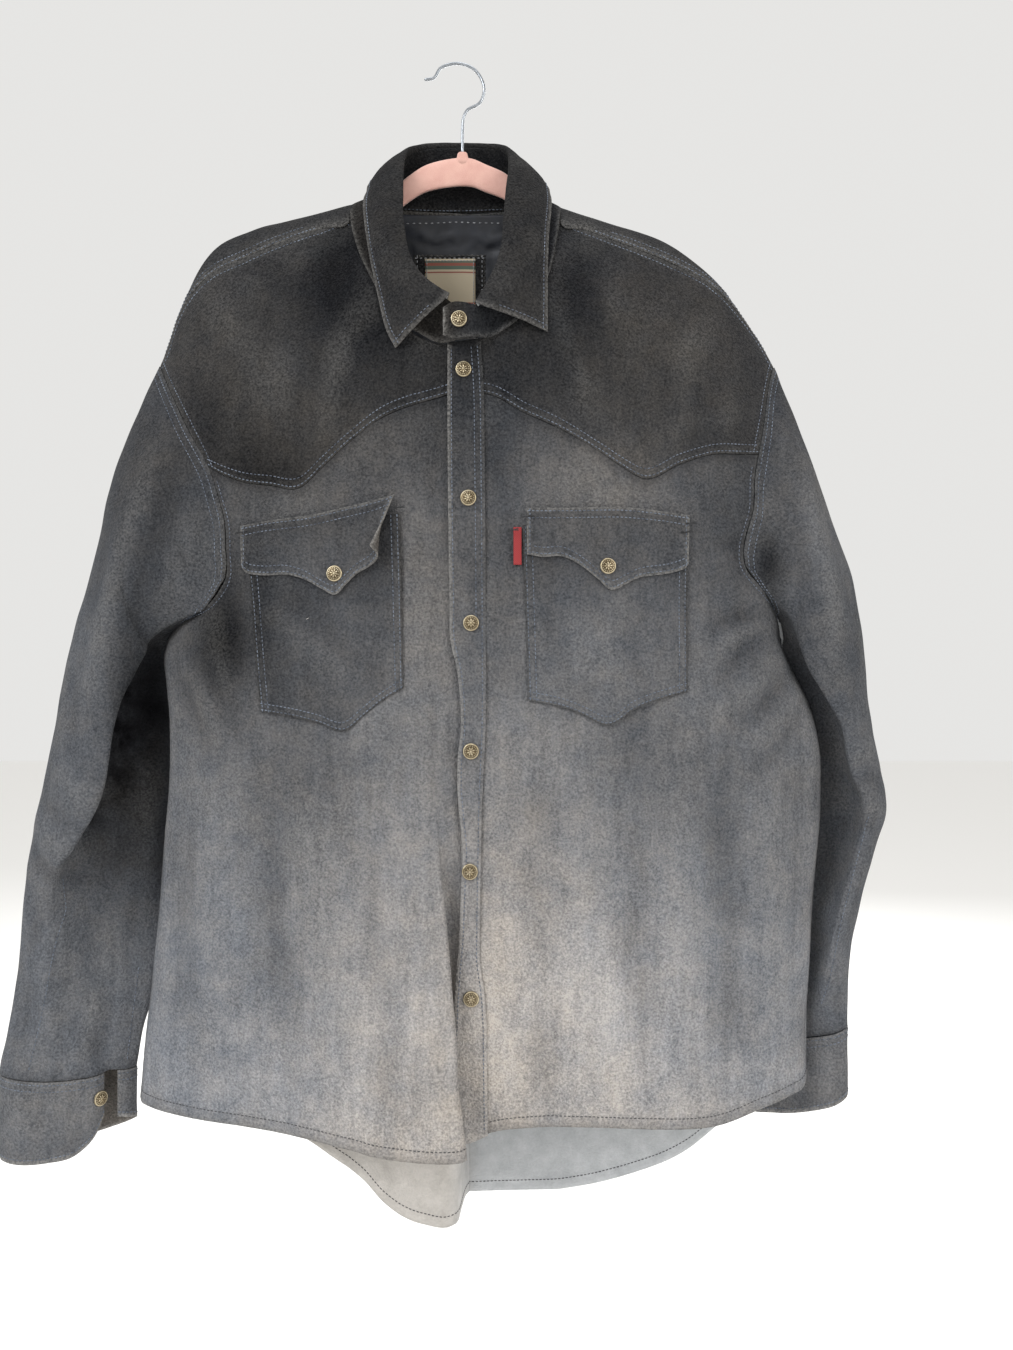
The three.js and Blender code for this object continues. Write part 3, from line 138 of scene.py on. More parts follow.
def through(pairs):
    """A smooth value through (key, value) pairs, with no overshoot between them."""
    keys, values = (np.array(column, float) for column in zip(*pairs))
    spans = np.diff(keys)
    rises = np.diff(values) / spans
    slopes = np.concatenate([rises[:1], np.zeros(len(keys) - 2), rises[-1:]])
    steady = rises[:-1] * rises[1:] > 0
    slopes[1:-1][steady] = (2 * rises[:-1] * rises[1:])[steady] / (rises[:-1] + rises[1:])[steady]

    def value(key):
        inside = np.clip(key, keys[0], keys[-1])
        k = np.clip(np.searchsorted(keys, inside) - 1, 0, len(spans) - 1)
        s = (inside - keys[k]) / spans[k]
        return smooth_span(s, spans[k], values[k], values[k + 1], slopes[k], slopes[k + 1])

    return value


def own_seed(first, side):
    return first + SIDES.index(side)


def mix(a, b, share):
    return a + (b - a) * share


def ramp(low, high, value):
    s = np.clip((value - low) / (high - low), 0, 1)
    return s * s * (3 - 2 * s)


def spot(x, y, z):
    return np.array([x, y, z], float)


side_outline = {
    "right": through([
        (60, -262), (256, -262), (317, -277), (375, -285), (420, -270), (450, -250), (478, -240),
        (495, -249), (517, -248), (554, -244), (598, -244), (646, -248), (717, -253), (775, -259),
        (830, -265), (875, -269), (980, -276)]),
    "left": through([
        (60, 276), (256, 276), (317, 289), (375, 292), (420, 287), (450, 276), (466, 270),
        (494, 274), (523, 288), (540, 296), (564, 303), (598, 307), (632, 307), (676, 303),
        (732, 299), (806, 295), (860, 295), (980, 298)]),
}
ridge_down = through([
    (-262, 275), (-253.5, 256), (-241, 229), (-231, 197), (-218, 169), (-201, 153), (-180, 142),
    (-131, 130), (-91, 120), (-60, 112), (0, 106), (60, 112), (86, 122), (106, 129), (136, 138),
    (180, 153), (200, 164), (216, 183), (232, 199), (242, 216), (252, 227), (260, 243),
    (268, 257), (276, 272)])
side_depth = through([(60, 0), (440, 0), (520, -4), (980, -5)])
front_fullness = {
    "right": through([(60, 50), (250, 58), (400, 60), (550, 63), (650, 64), (750, 63), (890, 62)]),
    "left": through([(60, 50), (250, 58), (400, 60), (550, 63), (650, 65), (750, 61), (890, 53)]),
}
right_belly = through([(480, 0), (600, 6), (700, 14), (800, 22), (890, 28)])
back_fullness = {
    "right": through([(60, 28), (380, 24), (520, 18), (700, 0), (850, -14), (980, -19)]),
    "left": through([(60, 28), (380, 24), (520, 24), (700, 30), (850, 36), (980, 39)]),
}
FRONT_TOP = 260
BACK_TOP = 90
SIDE_ROUNDING = 3
CROWN_POWER, CROWN_ROOT = 2.2, 2
CHEST_POWER, CHEST_ROOT = 2.6, 1.8


def side_at(x, down):
    return np.where(x < CENTRE_X, side_outline["right"](down), side_outline["left"](down))


def bulge(t, power, root):
    return (1 - (1 - t) ** power) ** (1 / root)


def from_side(x, down):
    side = side_at(x, down)
    return np.clip((x - side) / (CENTRE_X - side), 0, 1)


def crown(x, down, height):
    return bulge(np.clip((down - ridge_down(x)) / height, 0, 1), CROWN_POWER, CROWN_ROOT)


def front_y(x, down):
    belly = np.where(x < CENTRE_X, right_belly(down) * ramp(-170, -15, x), 0)
    full = np.where(x < CENTRE_X, front_fullness["right"](down), front_fullness["left"](down))
    chest = bulge(from_side(x, down), CHEST_POWER, CHEST_ROOT)
    return side_depth(down) - (full + belly) * chest * crown(x, down, FRONT_TOP)


def back_y(x, down):
    t = from_side(x, down)
    in_from_side = np.minimum(np.abs(x - side_at(x, down)) / SIDE_ROUNDING, 1)
    full = mix(back_fullness["right"](down), back_fullness["left"](down), ramp(-3, 6, x))
    slow = np.sin(math.pi / 2 * np.minimum(1, 1.15 * t))
    spread = mix(bulge(t, CHEST_POWER, CHEST_ROOT), slow, ramp(400, 520, down))
    rounding = SIDE_ROUNDING * np.sqrt(1 - (1 - in_from_side) ** 2)
    return side_depth(down) + (rounding + full * spread) * crown(x, down, BACK_TOP)


PROBE = 0.05
AT_SIDE, AT_RIDGE = 0.004, 0.01


def on_body(face, x, down):
    """A point of the front or back of the hanging form, with its outward direction."""
    depth, out = (front_y, -1) if face == "front" else (back_y, 1)
    x, down = float(x), float(down)
    p = spot(x, depth(x, down), -down)
    h = PROBE
    if from_side(x, down) < AT_SIDE:
        n = spot(-1 if x < CENTRE_X else 1, 0, 0)
    elif down - ridge_down(x) < AT_RIDGE:
        n = spot((ridge_down(x + h) - ridge_down(x - h)) / (2 * h), 0, 1)
    else:
        along_x = (depth(x + h, down) - depth(x - h, down)) / (2 * h)
        along_z = (depth(x, down - h) - depth(x, down + h)) / (2 * h)
        n = spot(-out * along_x, out, -out * along_z)
    return p, n / np.linalg.norm(n)


RIDGE_SOFTNESS = 12.5


def over_ridge(x, over):
    below = math.hypot(over, RIDGE_SOFTNESS) - RIDGE_SOFTNESS
    return on_body("front" if over < 0 else "back", x, ridge_down(x) + below)


def over_for(below):
    return math.sqrt((below + RIDGE_SOFTNESS) ** 2 - RIDGE_SOFTNESS ** 2)


def lifted(seat, lift):
    return seat[0] + seat[1] * lift


def unit(vectors):
    return vectors / np.maximum(np.linalg.norm(vectors, axis=-1, keepdims=True), 1e-9)


def refined(grid, axis, step, closed=False):
    """More points along one way of a grid, on smooth curves through the ones it has."""
    g = np.moveaxis(grid, axis, 0)
    if closed:
        g = np.concatenate([g[-2:], g, g[:3]])
    spans = np.maximum(np.linalg.norm(np.diff(g, axis=0), axis=-1).mean(axis=-1), 0.05)
    rises = np.diff(g, axis=0) / spans[:, None, None]
    w = spans[1:, None, None] / (spans[:-1] + spans[1:])[:, None, None]
    between = rises[:-1] * w + rises[1:] * (1 - w)
    speeds, fastest = (np.linalg.norm(way, axis=-1, keepdims=True) for way in (rises, between))
    steady = 2 * np.minimum(speeds[:-1], speeds[1:]) / np.maximum(fastest, 1e-9)
    slopes = np.concatenate([rises[:1], between * np.minimum(steady, 1), rises[-1:]])
    first, last = (2, len(g) - 3) if closed else (0, len(g) - 1)
    fine = []
    for k in range(first, last):
        count = max(1, round(spans[k] / step))
        fine += [smooth_span(s, spans[k], g[k], g[k + 1], slopes[k], slopes[k + 1])
                 for s in np.arange(count) / count]
    if not closed:
        fine.append(g[-1])
    return np.moveaxis(np.array(fine), 0, axis)


def steps_along(grid, axis, closed):
    ahead = np.roll(grid, -1, axis) - grid
    behind = grid - np.roll(grid, 1, axis)
    if not closed:
        lead, tail = [slice(None)] * 3, [slice(None)] * 3
        lead[axis], tail[axis] = 0, -1
        behind[tuple(lead)] = ahead[tuple(lead)]
        ahead[tuple(tail)] = behind[tuple(tail)]
    return unit(unit(ahead) + unit(behind))


def facing(grid, sign, closed=False):
    return unit(np.cross(steps_along(grid, 0, closed), steps_along(grid, 1, False))) * sign


LIP_SHARE, LIP_AT = 0.3, 1.9


def lie_of_creases(points, creases):
    """How far soft troughs (minus) and ridges (plus) move the cloth. Each is width, depth and
    line, has a slight lip along both sides and dies away at its ends."""
    x, down = points[..., 0], -points[..., 2]
    lift = np.zeros(x.shape)
    for width, depth, line in creases:
        stops = np.array(line, float)
        lengths = np.linalg.norm(np.diff(stops, axis=0), axis=1)
        nearest, along, passed = np.full(x.shape, 1e9), np.zeros(x.shape), 0.0
        for (ax, ad), (bx, bd), length in zip(stops, stops[1:], lengths):
            s = np.clip(((x - ax) * (bx - ax) + (down - ad) * (bd - ad)) / length ** 2, 0, 1)
            gap = np.hypot(x - ax - s * (bx - ax), down - ad - s * (bd - ad))
            along = np.where(gap < nearest, (passed + s * length) / lengths.sum(), along)
            nearest = np.minimum(gap, nearest)
            passed += length
        u = nearest / width
        fall = np.exp(-u ** 2) - LIP_SHARE * np.exp(-((u - LIP_AT) ** 2))
        lift += depth * fall * np.sin(math.pi * np.clip(along, 0.03, 0.97)) ** 0.6
    return lift


WAVES = 9


def undulation(points, size, seed):
    """A gentle unevenness of about that wavelength, between -1 and 1 or so."""
    draw = np.random.default_rng(seed)
    total = np.zeros(points.shape[:-1])
    for _ in range(WAVES):
        way = unit(draw.normal(size=3) * (1, 0.5, 1))
        wave = size * draw.uniform(0.65, 1.5)
        total += np.sin(points @ way * (2 * math.pi / wave) + draw.uniform(0, 2 * math.pi))
    return total / 4


# How much paler the colour gets from the shoulders down to the hem, on the yokes, the body and the
# sleeves: partly faded dye and partly painted light, brighter towards the hem. Then patches of it as
# x, down, half width, half height, how much paler (or darker, where minus) and how much browner (or
# bluer); a few dark patches are painted shade in hollows
yoke_fade_and_painted_light = through([(100, 0.04), (200, 0.055), (300, 0.07), (380, 0.08)])
body_fade_and_painted_light = through([
    (100, 0.05), (200, 0.06), (260, 0.08), (340, 0.145), (460, 0.24), (540, 0.29), (620, 0.345),
    (740, 0.47), (830, 0.59), (920, 0.66)])
sleeve_fade_and_painted_light = through([
    (250, 0.08), (354, 0.115), (458, 0.155), (586, 0.205), (740, 0.245), (830, 0.285), (930, 0.32)])
FRONT_FADE_AND_SHADE = [
    (-30, 790, 80, 160, 0.09, 0.30), (50, 720, 50, 130, 0.14, 0.30), (80, 870, 130, 70, 0.07, 0.30),
    (148, 600, 42, 66, -0.07, -0.05), (140, 760, 70, 66, 0.10, 0.10), (215, 690, 40, 110, -0.05, -0.10),
    (250, 820, 50, 140, -0.05, -0.10), (-235, 800, 60, 160, -0.08, -0.15), (-150, 760, 50, 70, -0.06, 0.0),
    (36, 462, 26, 60, -0.06, 0.0), (126, 762, 56, 80, 0.17, 0.10), (30, 800, 30, 90, 0.06, 0.1),
    (-124, 610, 50, 80, -0.09, 0.05), (-175, 700, 40, 60, 0.03, -0.10), (-20, 458, 30, 90, 0.04, 0.25),
    (116, 362, 60, 36, 0.08, 0.30), (224, 394, 36, 60, -0.06, -0.10), (244, 498, 40, 70, -0.06, -0.10),
    # The patch at (-190, 490) is painted shade in the hollow under the right arm.
    (-156, 372, 50, 36, -0.06, 0.0), (-190, 490, 38, 58, -0.25, 0.0), (-76, 202, 42, 52, -0.075, -0.35),
    (60, 250, 60, 70, -0.012, -0.1), (-36, 276, 46, 44, -0.025, -0.1), (90, 212, 34, 50, -0.04, -0.35),
    (-200, 318, 40, 40, -0.03, 0.0), (36, 330, 20, 60, -0.03, -0.25), (-200, 250, 50, 60, 0.015, 0.20),
    (150, 240, 90, 60, 0.015, 0.35), (116, 505, 36, 46, 0.06, 0.05), (-110, 330, 90, 50, 0.0, 0.30),
    (-150, 860, 60, 50, -0.03, -0.05), (190, 890, 80, 40, 0.04, 0.15), (-60, 900, 90, 40, 0.06, 0.20),
]
SLEEVE_FADE_AND_SHADE = [
    # The patches at (-266, 545), (-262, 660) and (257, 428) are painted shade in hollows at the sleeves' rear
    # halves.
    (-300, 500, 30, 90, 0.05, 0.0), (-345, 720, 30, 100, 0.03, 0.0), (-250, 350, 40, 50, -0.01, 0.30),
    (300, 400, 40, 60, 0.09, 0.05), (-266, 545, 20, 75, -0.16, 0.0), (-262, 660, 22, 50, -0.02, 0.0),
    (257, 428, 14, 26, -0.14, 0.0), (290, 340, 40, 60, 0.02, 0.20), (300, 740, 30, 60, 0.04, 0.0),
]
DARKEST = 0.008


# Paleness and warmth: faded dye with painted light that grows towards the hem, then patches of dye and of
# painted shade.
def fade_and_shading_of(points, dye_and_shading, pale, brown):
    x, down = points[..., 0], -points[..., 2]
    by_height, patches = dye_and_shading
    lightness, warmth = by_height(down) + pale, np.full(x.shape, float(brown))
    for px, pdown, half_x, half_down, lighter, warmer in patches:
        near = np.exp(-(((x - px) / half_x) ** 2) - ((down - pdown) / half_down) ** 2)
        lightness += lighter * near
        warmth += warmer * near
    return np.maximum(lightness, DARKEST), np.clip(warmth, 0, 1)


def from_edge(grid, edge):
    """How far each point of a grid is from one of its edges, along the grid's own lines."""
    axis = 0 if edge in ("start", "end") else 1
    spans = np.linalg.norm(np.diff(grid, axis=axis), axis=-1)
    if edge in ("end", "bottom"):
        spans = np.flip(spans, axis)
    zero = np.zeros_like(np.take(spans, [0], axis))
    far = np.concatenate([zero, np.cumsum(spans, axis)], axis)
    return np.flip(far, axis) if edge in ("end", "bottom") else far


def edge_row(cloth, edge, inset, low=0.0, high=1.0):
    """Points and directions of a row sewn at one distance from an edge of a finished cloth."""
    points, normals = cloth["points"], cloth["normals"]
    far = from_edge(points, edge)
    if edge in ("start", "end"):
        points, normals, far = (np.swapaxes(a, 0, 1) for a in (points, normals, far))
    if edge in ("end", "bottom"):
        points, normals, far = points[:, ::-1], normals[:, ::-1], far[:, ::-1]
    seats, ways = [], []
    count = len(points)
    for i in range(round(low * (count - 1)), round(high * (count - 1)) + 1):
        if far[i, -1] <= inset:
            continue
        k = max(1, int(np.searchsorted(far[i], inset)))
        share = (inset - far[i, k - 1]) / max(far[i, k] - far[i, k - 1], 1e-6)
        seats.append(mix(points[i, k - 1], points[i, k], share))
        ways.append(mix(normals[i, k - 1], normals[i, k], share))
    return np.array(seats), unit(np.array(ways))


FAR_OFF = 400
LINE_STEP = 2


def line_row(cloth, line):
    """The same for a row drawn as (x, down), found by looking straight at the cloth's front."""
    stops = np.array(line, float)
    passed = np.concatenate([[0], np.cumsum(np.linalg.norm(np.diff(stops, axis=0), axis=1))])
    wanted = np.linspace(0, passed[-1], max(2, round(passed[-1] / LINE_STEP)))
    seats, ways = [], []
    for x, down in zip(np.interp(wanted, passed, stops[:, 0]), np.interp(wanted, passed, stops[:, 1])):
        seat, way, _, _ = cloth["tree"].ray_cast((x, -FAR_OFF, -down), (0, 1, 0))
        if seat is not None:
            seats.append(seat[:])
            ways.append(way[:] if way[1] < 0 else (-way)[:])
    return np.array(seats), np.array(ways)


THREAD_PITCH = 3.3
THREAD_LENGTH = 2.5
THREAD_WIDTH = 0.78
THREAD_RISE = 0.42
THREAD_SHOULDER = 0.3
THREAD_LIFT = 0.1
TIP_SINK = 0.15
BEAD_SIDES = 6


def stitch_beads(rows, pitch):
    """Small half-sunk thread stitches, each a six-sided bead with pointed ends."""
    vertices, faces = [], []
    turns = np.arange(BEAD_SIDES) * math.pi / 3
    for seats, ways in rows:
        spans = np.linalg.norm(np.diff(seats, axis=0), axis=1)
        passed = np.concatenate([[0], np.cumsum(spans)])
        count = int(passed[-1] / pitch)
        if count < 2:
            continue
        middles = (np.arange(count) + 0.5) * passed[-1] / count

        def at(distance):
            place = np.stack([np.interp(distance, passed, seats[:, k]) for k in range(3)], -1)
            return place, unit(np.stack([np.interp(distance, passed, ways[:, k]) for k in range(3)], -1))

        centre, up = at(middles)
        along = unit(at(middles + 1)[0] - at(middles - 1)[0])
        beside = unit(np.cross(up, along))
        for c, a, b, u in zip(centre, along, beside, up):
            base = len(vertices)
            vertices.append(c - a * THREAD_LENGTH / 2 - u * TIP_SINK)
            for lengthwise in (-THREAD_SHOULDER, THREAD_SHOULDER):
                for turn in turns:
                    vertices.append(
                        c + a * lengthwise * THREAD_LENGTH + b * math.cos(turn) * THREAD_WIDTH / 2
                        + u * (THREAD_LIFT + math.sin(turn) * THREAD_RISE))
            vertices.append(c + a * THREAD_LENGTH / 2 - u * TIP_SINK)
            first, second = base + 1, base + 1 + BEAD_SIDES
            for k in range(BEAD_SIDES):
                n = (k + 1) % BEAD_SIDES
                faces.append((base, first + n, first + k))
                faces.append((first + k, first + n, second + n, second + k))
                faces.append((second + k, second + n, second + BEAD_SIDES))
    return np.array(vertices), faces


def new_piece(name, vertices, faces, materials):
    mesh = bpy.data.meshes.new(name)
    mesh.from_pydata((np.asarray(vertices) * MM).tolist(), [], faces)
    for material in materials:
        mesh.materials.append(material)
    mesh.polygons.foreach_set("use_smooth", [True] * len(mesh.polygons))
    piece = bpy.data.objects.new(name, mesh)
    bpy.context.collection.objects.link(piece)
    return piece


def paint_values(piece, **values):
    for name, value in values.items():
        layer = piece.data.attributes.new(name, "FLOAT", "POINT")
        layer.data.foreach_set("value", np.asarray(value, float).ravel())


def node(tree, kind, inputs=None, **settings):
    made = tree.nodes.new(kind)
    for name, value in settings.items():
        setattr(made, name, value)
    for socket, value in (inputs or {}).items():
        if isinstance(value, bpy.types.NodeSocket):
            tree.links.new(value, made.inputs[socket])
        else:
            made.inputs[socket].default_value = value
    return made


def blend_colours(tree, share, low, high):
    colour_a, colour_b, colour_out = 6, 7, 2
    made = node(tree, "ShaderNodeMix", {"Factor": share, colour_a: low, colour_b: high}, data_type="RGBA")
    return made.outputs[colour_out]


def sums(tree, operation, a, b, clamp=False):
    made = node(tree, "ShaderNodeMath", {0: a, 1: b}, operation=operation)
    made.use_clamp = clamp
    return made.outputs[0]


def speckle(tree, place, scale, detail=4.0, roughness=0.6, low=0.35, high=0.65):
    grain = node(tree, "ShaderNodeTexNoise", {
        "Vector": place, "Scale": scale, "Detail": detail, "Roughness": roughness})
    return node(tree, "ShaderNodeMapRange", {
        "Value": grain.outputs["Fac"], "From Min": low, "From Max": high}, clamp=True).outputs["Result"]


def blank_material(name):
    """A material with its node tree, its shader and the place of each point that it shades."""
    material = bpy.data.materials.new(name)
    material.use_nodes = True
    tree = material.node_tree
    place = node(tree, "ShaderNodeNewGeometry").outputs["Position"]
    return material, tree, tree.nodes["Principled BSDF"], place


def set_surface(tree, shader, colour, settings, bump=None):
    """Gives the shader its colour, its settings by name and a bump of height, strength, depth."""
    tree.links.new(colour, shader.inputs["Base Color"])
    for socket, value in settings.items():
        shader.inputs[socket].default_value = value
    if bump:
        made = node(tree, "ShaderNodeBump", dict(zip(("Height", "Strength", "Distance"), bump)))
        tree.links.new(made.outputs["Normal"], shader.inputs["Normal"])


def vertex_value(tree, name):
    return node(tree, "ShaderNodeAttribute", attribute_name=name).outputs["Fac"]


SLATE_DEEP = (0.0022, 0.0026, 0.0038, 1)
SLATE_PALE = (0.350, 0.372, 0.415, 1)
BROWN_DEEP = (0.0032, 0.0028, 0.0024, 1)
TAUPE_PALE = (0.480, 0.437, 0.395, 1)
RUBBED_EDGE = (0.300, 0.290, 0.275, 1)
GRIME_AND_SHADE = (0.003, 0.003, 0.004, 1)


def varied(tree, *parts):
    """One plus each noise about its middle, times how much it counts."""
    total = 1.0
    for noise, amount in parts:
        total = sums(tree, "ADD", total, sums(tree, "MULTIPLY", sums(tree, "SUBTRACT", noise, 0.5), amount))
    return total


def worn_suede(name):
    """Dyed split leather: a pebbled short nap, paler in rubbed patches and along worn edges, darker
    with grime, and with painted light and shade in its paleness and its darkening.
    """
    material, tree, shader, place = blank_material(name)
    pale, brown, rub, soil = (vertex_value(tree, name) for name in ("pale", "brown", "rub", "soil"))
    clouds = speckle(tree, place, 11, 4, 0.6, 0.30, 0.70)
    patches = speckle(tree, place, 42, 5, 0.65, 0.30, 0.70)
    hanging = node(tree, "ShaderNodeMapping", {"Vector": place, "Scale": (120, 120, 16)}).outputs["Vector"]
    streaks = speckle(tree, hanging, 1.0, 4, 0.6, 0.30, 0.70)
    grain = speckle(tree, place, 540, 2, 0.6, 0.32, 0.68)
    nap = speckle(tree, place, 950, 2, 0.7, 0.25, 0.75)
    factor = varied(tree, (clouds, 0.22), (patches, 0.28), (streaks, 0.26), (grain, 0.52), (nap, 0.32))
    glints = sums(tree, "MULTIPLY", sums(tree, "SUBTRACT", grain, 0.5), 0.028)
    lightness = sums(tree, "ADD", sums(tree, "MULTIPLY", pale, factor), glints, clamp=True)
    turned = varied(tree, (patches, 0.45), (grain, 0.12))
    warmth = sums(tree, "ADD", brown, sums(tree, "SUBTRACT", turned, 1.0), clamp=True)
    slate = blend_colours(tree, lightness, SLATE_DEEP, SLATE_PALE)
    taupe = blend_colours(tree, lightness, BROWN_DEEP, TAUPE_PALE)
    cloth = blend_colours(tree, warmth, slate, taupe)
    uneven = sums(tree, "ADD", sums(tree, "MULTIPLY", patches, 0.5), 0.68)
    # Grime and painted shade darken the colour together, unevenly.
    dirt_and_shade = sums(tree, "MULTIPLY", soil, uneven, clamp=True)
    soiled = blend_colours(tree, dirt_and_shade, cloth, GRIME_AND_SHADE)
    bare = sums(tree, "MULTIPLY", rub, sums(tree, "ADD", grain, 0.2), clamp=True)
    pebble = node(tree, "ShaderNodeTexVoronoi", {"Vector": place, "Scale": 380}, feature="DISTANCE_TO_EDGE")
    relief = varied(tree, (nap, 0.5), (grain, 1.0), (pebble.outputs["Distance"], 1.6))
    set_surface(
        tree, shader, blend_colours(tree, bare, soiled, RUBBED_EDGE),
        {"Roughness": 0.95, "Specular IOR Level": 0.08, "Sheen Weight": 0.03, "Sheen Roughness": 0.5},
        (relief, 0.6, 0.0012))
    return material


def flesh_side(name):
    """The rough pale inside of the suede: warm grey in the right half, blue-grey in the left."""
    material, tree, shader, place = blank_material(name)
    clouds = speckle(tree, place, 60, 5, 0.6, 0.3, 0.7)
    fuzz = speckle(tree, place, 500, 4, 0.75, 0.2, 0.8)
    cool = blend_colours(tree, clouds, (0.395, 0.410, 0.425, 1), (0.540, 0.555, 0.570, 1))
    warm = blend_colours(tree, clouds, (0.420, 0.395, 0.365, 1), (0.580, 0.550, 0.515, 1))
    base = blend_colours(tree, vertex_value(tree, "brown"), cool, warm)
    set_surface(
        tree, shader, blend_colours(tree, sums(tree, "MULTIPLY", fuzz, 0.3), base, (0.12, 0.12, 0.125, 1)),
        {"Roughness": 0.97, "Specular IOR Level": 0.1, "Sheen Weight": 0.15}, (fuzz, 0.5, 0.001))
    return material


def sewing_thread(name, dark, light):
    """Waxed thread: dull in places, with paler stitches here and there that stand partly for painted
    highlights.
    """
    material, tree, shader, place = blank_material(name)
    colour = blend_colours(tree, speckle(tree, place, 120, 3, 0.7), dark, light)
    set_surface(tree, shader, colour, {"Roughness": 0.6})
    return material


suede = {
    "dark_suede": worn_suede("dark_suede_worn"),
    "grey_suede": worn_suede("grey_suede_worn"),
    "faded_suede": worn_suede("faded_suede_worn"),
}
suede_inside = flesh_side("suede_flesh_side")
hem_thread = sewing_thread("hem_thread", (0.018, 0.018, 0.022, 1), (0.060, 0.058, 0.060, 1))
slate_thread = sewing_thread("slate_thread", (0.030, 0.038, 0.055, 1), (0.150, 0.175, 0.220, 1))


def pulled_in(grid, edges):
    """Takes the named edges of a grid in by a seam gap."""
    grid = np.array(grid, float)
    every = slice(None)
    for edge, at, inner in (("top", (every, 0), (every, 1)), ("bottom", (every, -1), (every, -2)),
                            ("start", (0,), (1,)), ("end", (-1,), (-2,))):
        if edge in edges:
            grid[at] += unit(grid[inner] - grid[at]) * SEAM_GAP
    return grid


FINE_SIZE, FINE_SHARE, FINE_SEED = 0.35, 0.32, 50
PUCKER, PUCKER_REACH, PUCKER_PITCH, PUCKER_DRIFT = 0.24, 11, 0.62, 0.11
CALM_LEAST = 0.25
# Crease troughs are painted darker as shade; crease ridges are rubbed paler.
RUB_ON_RIDGES, SHADE_IN_TROUGHS = 0.05, 0.10


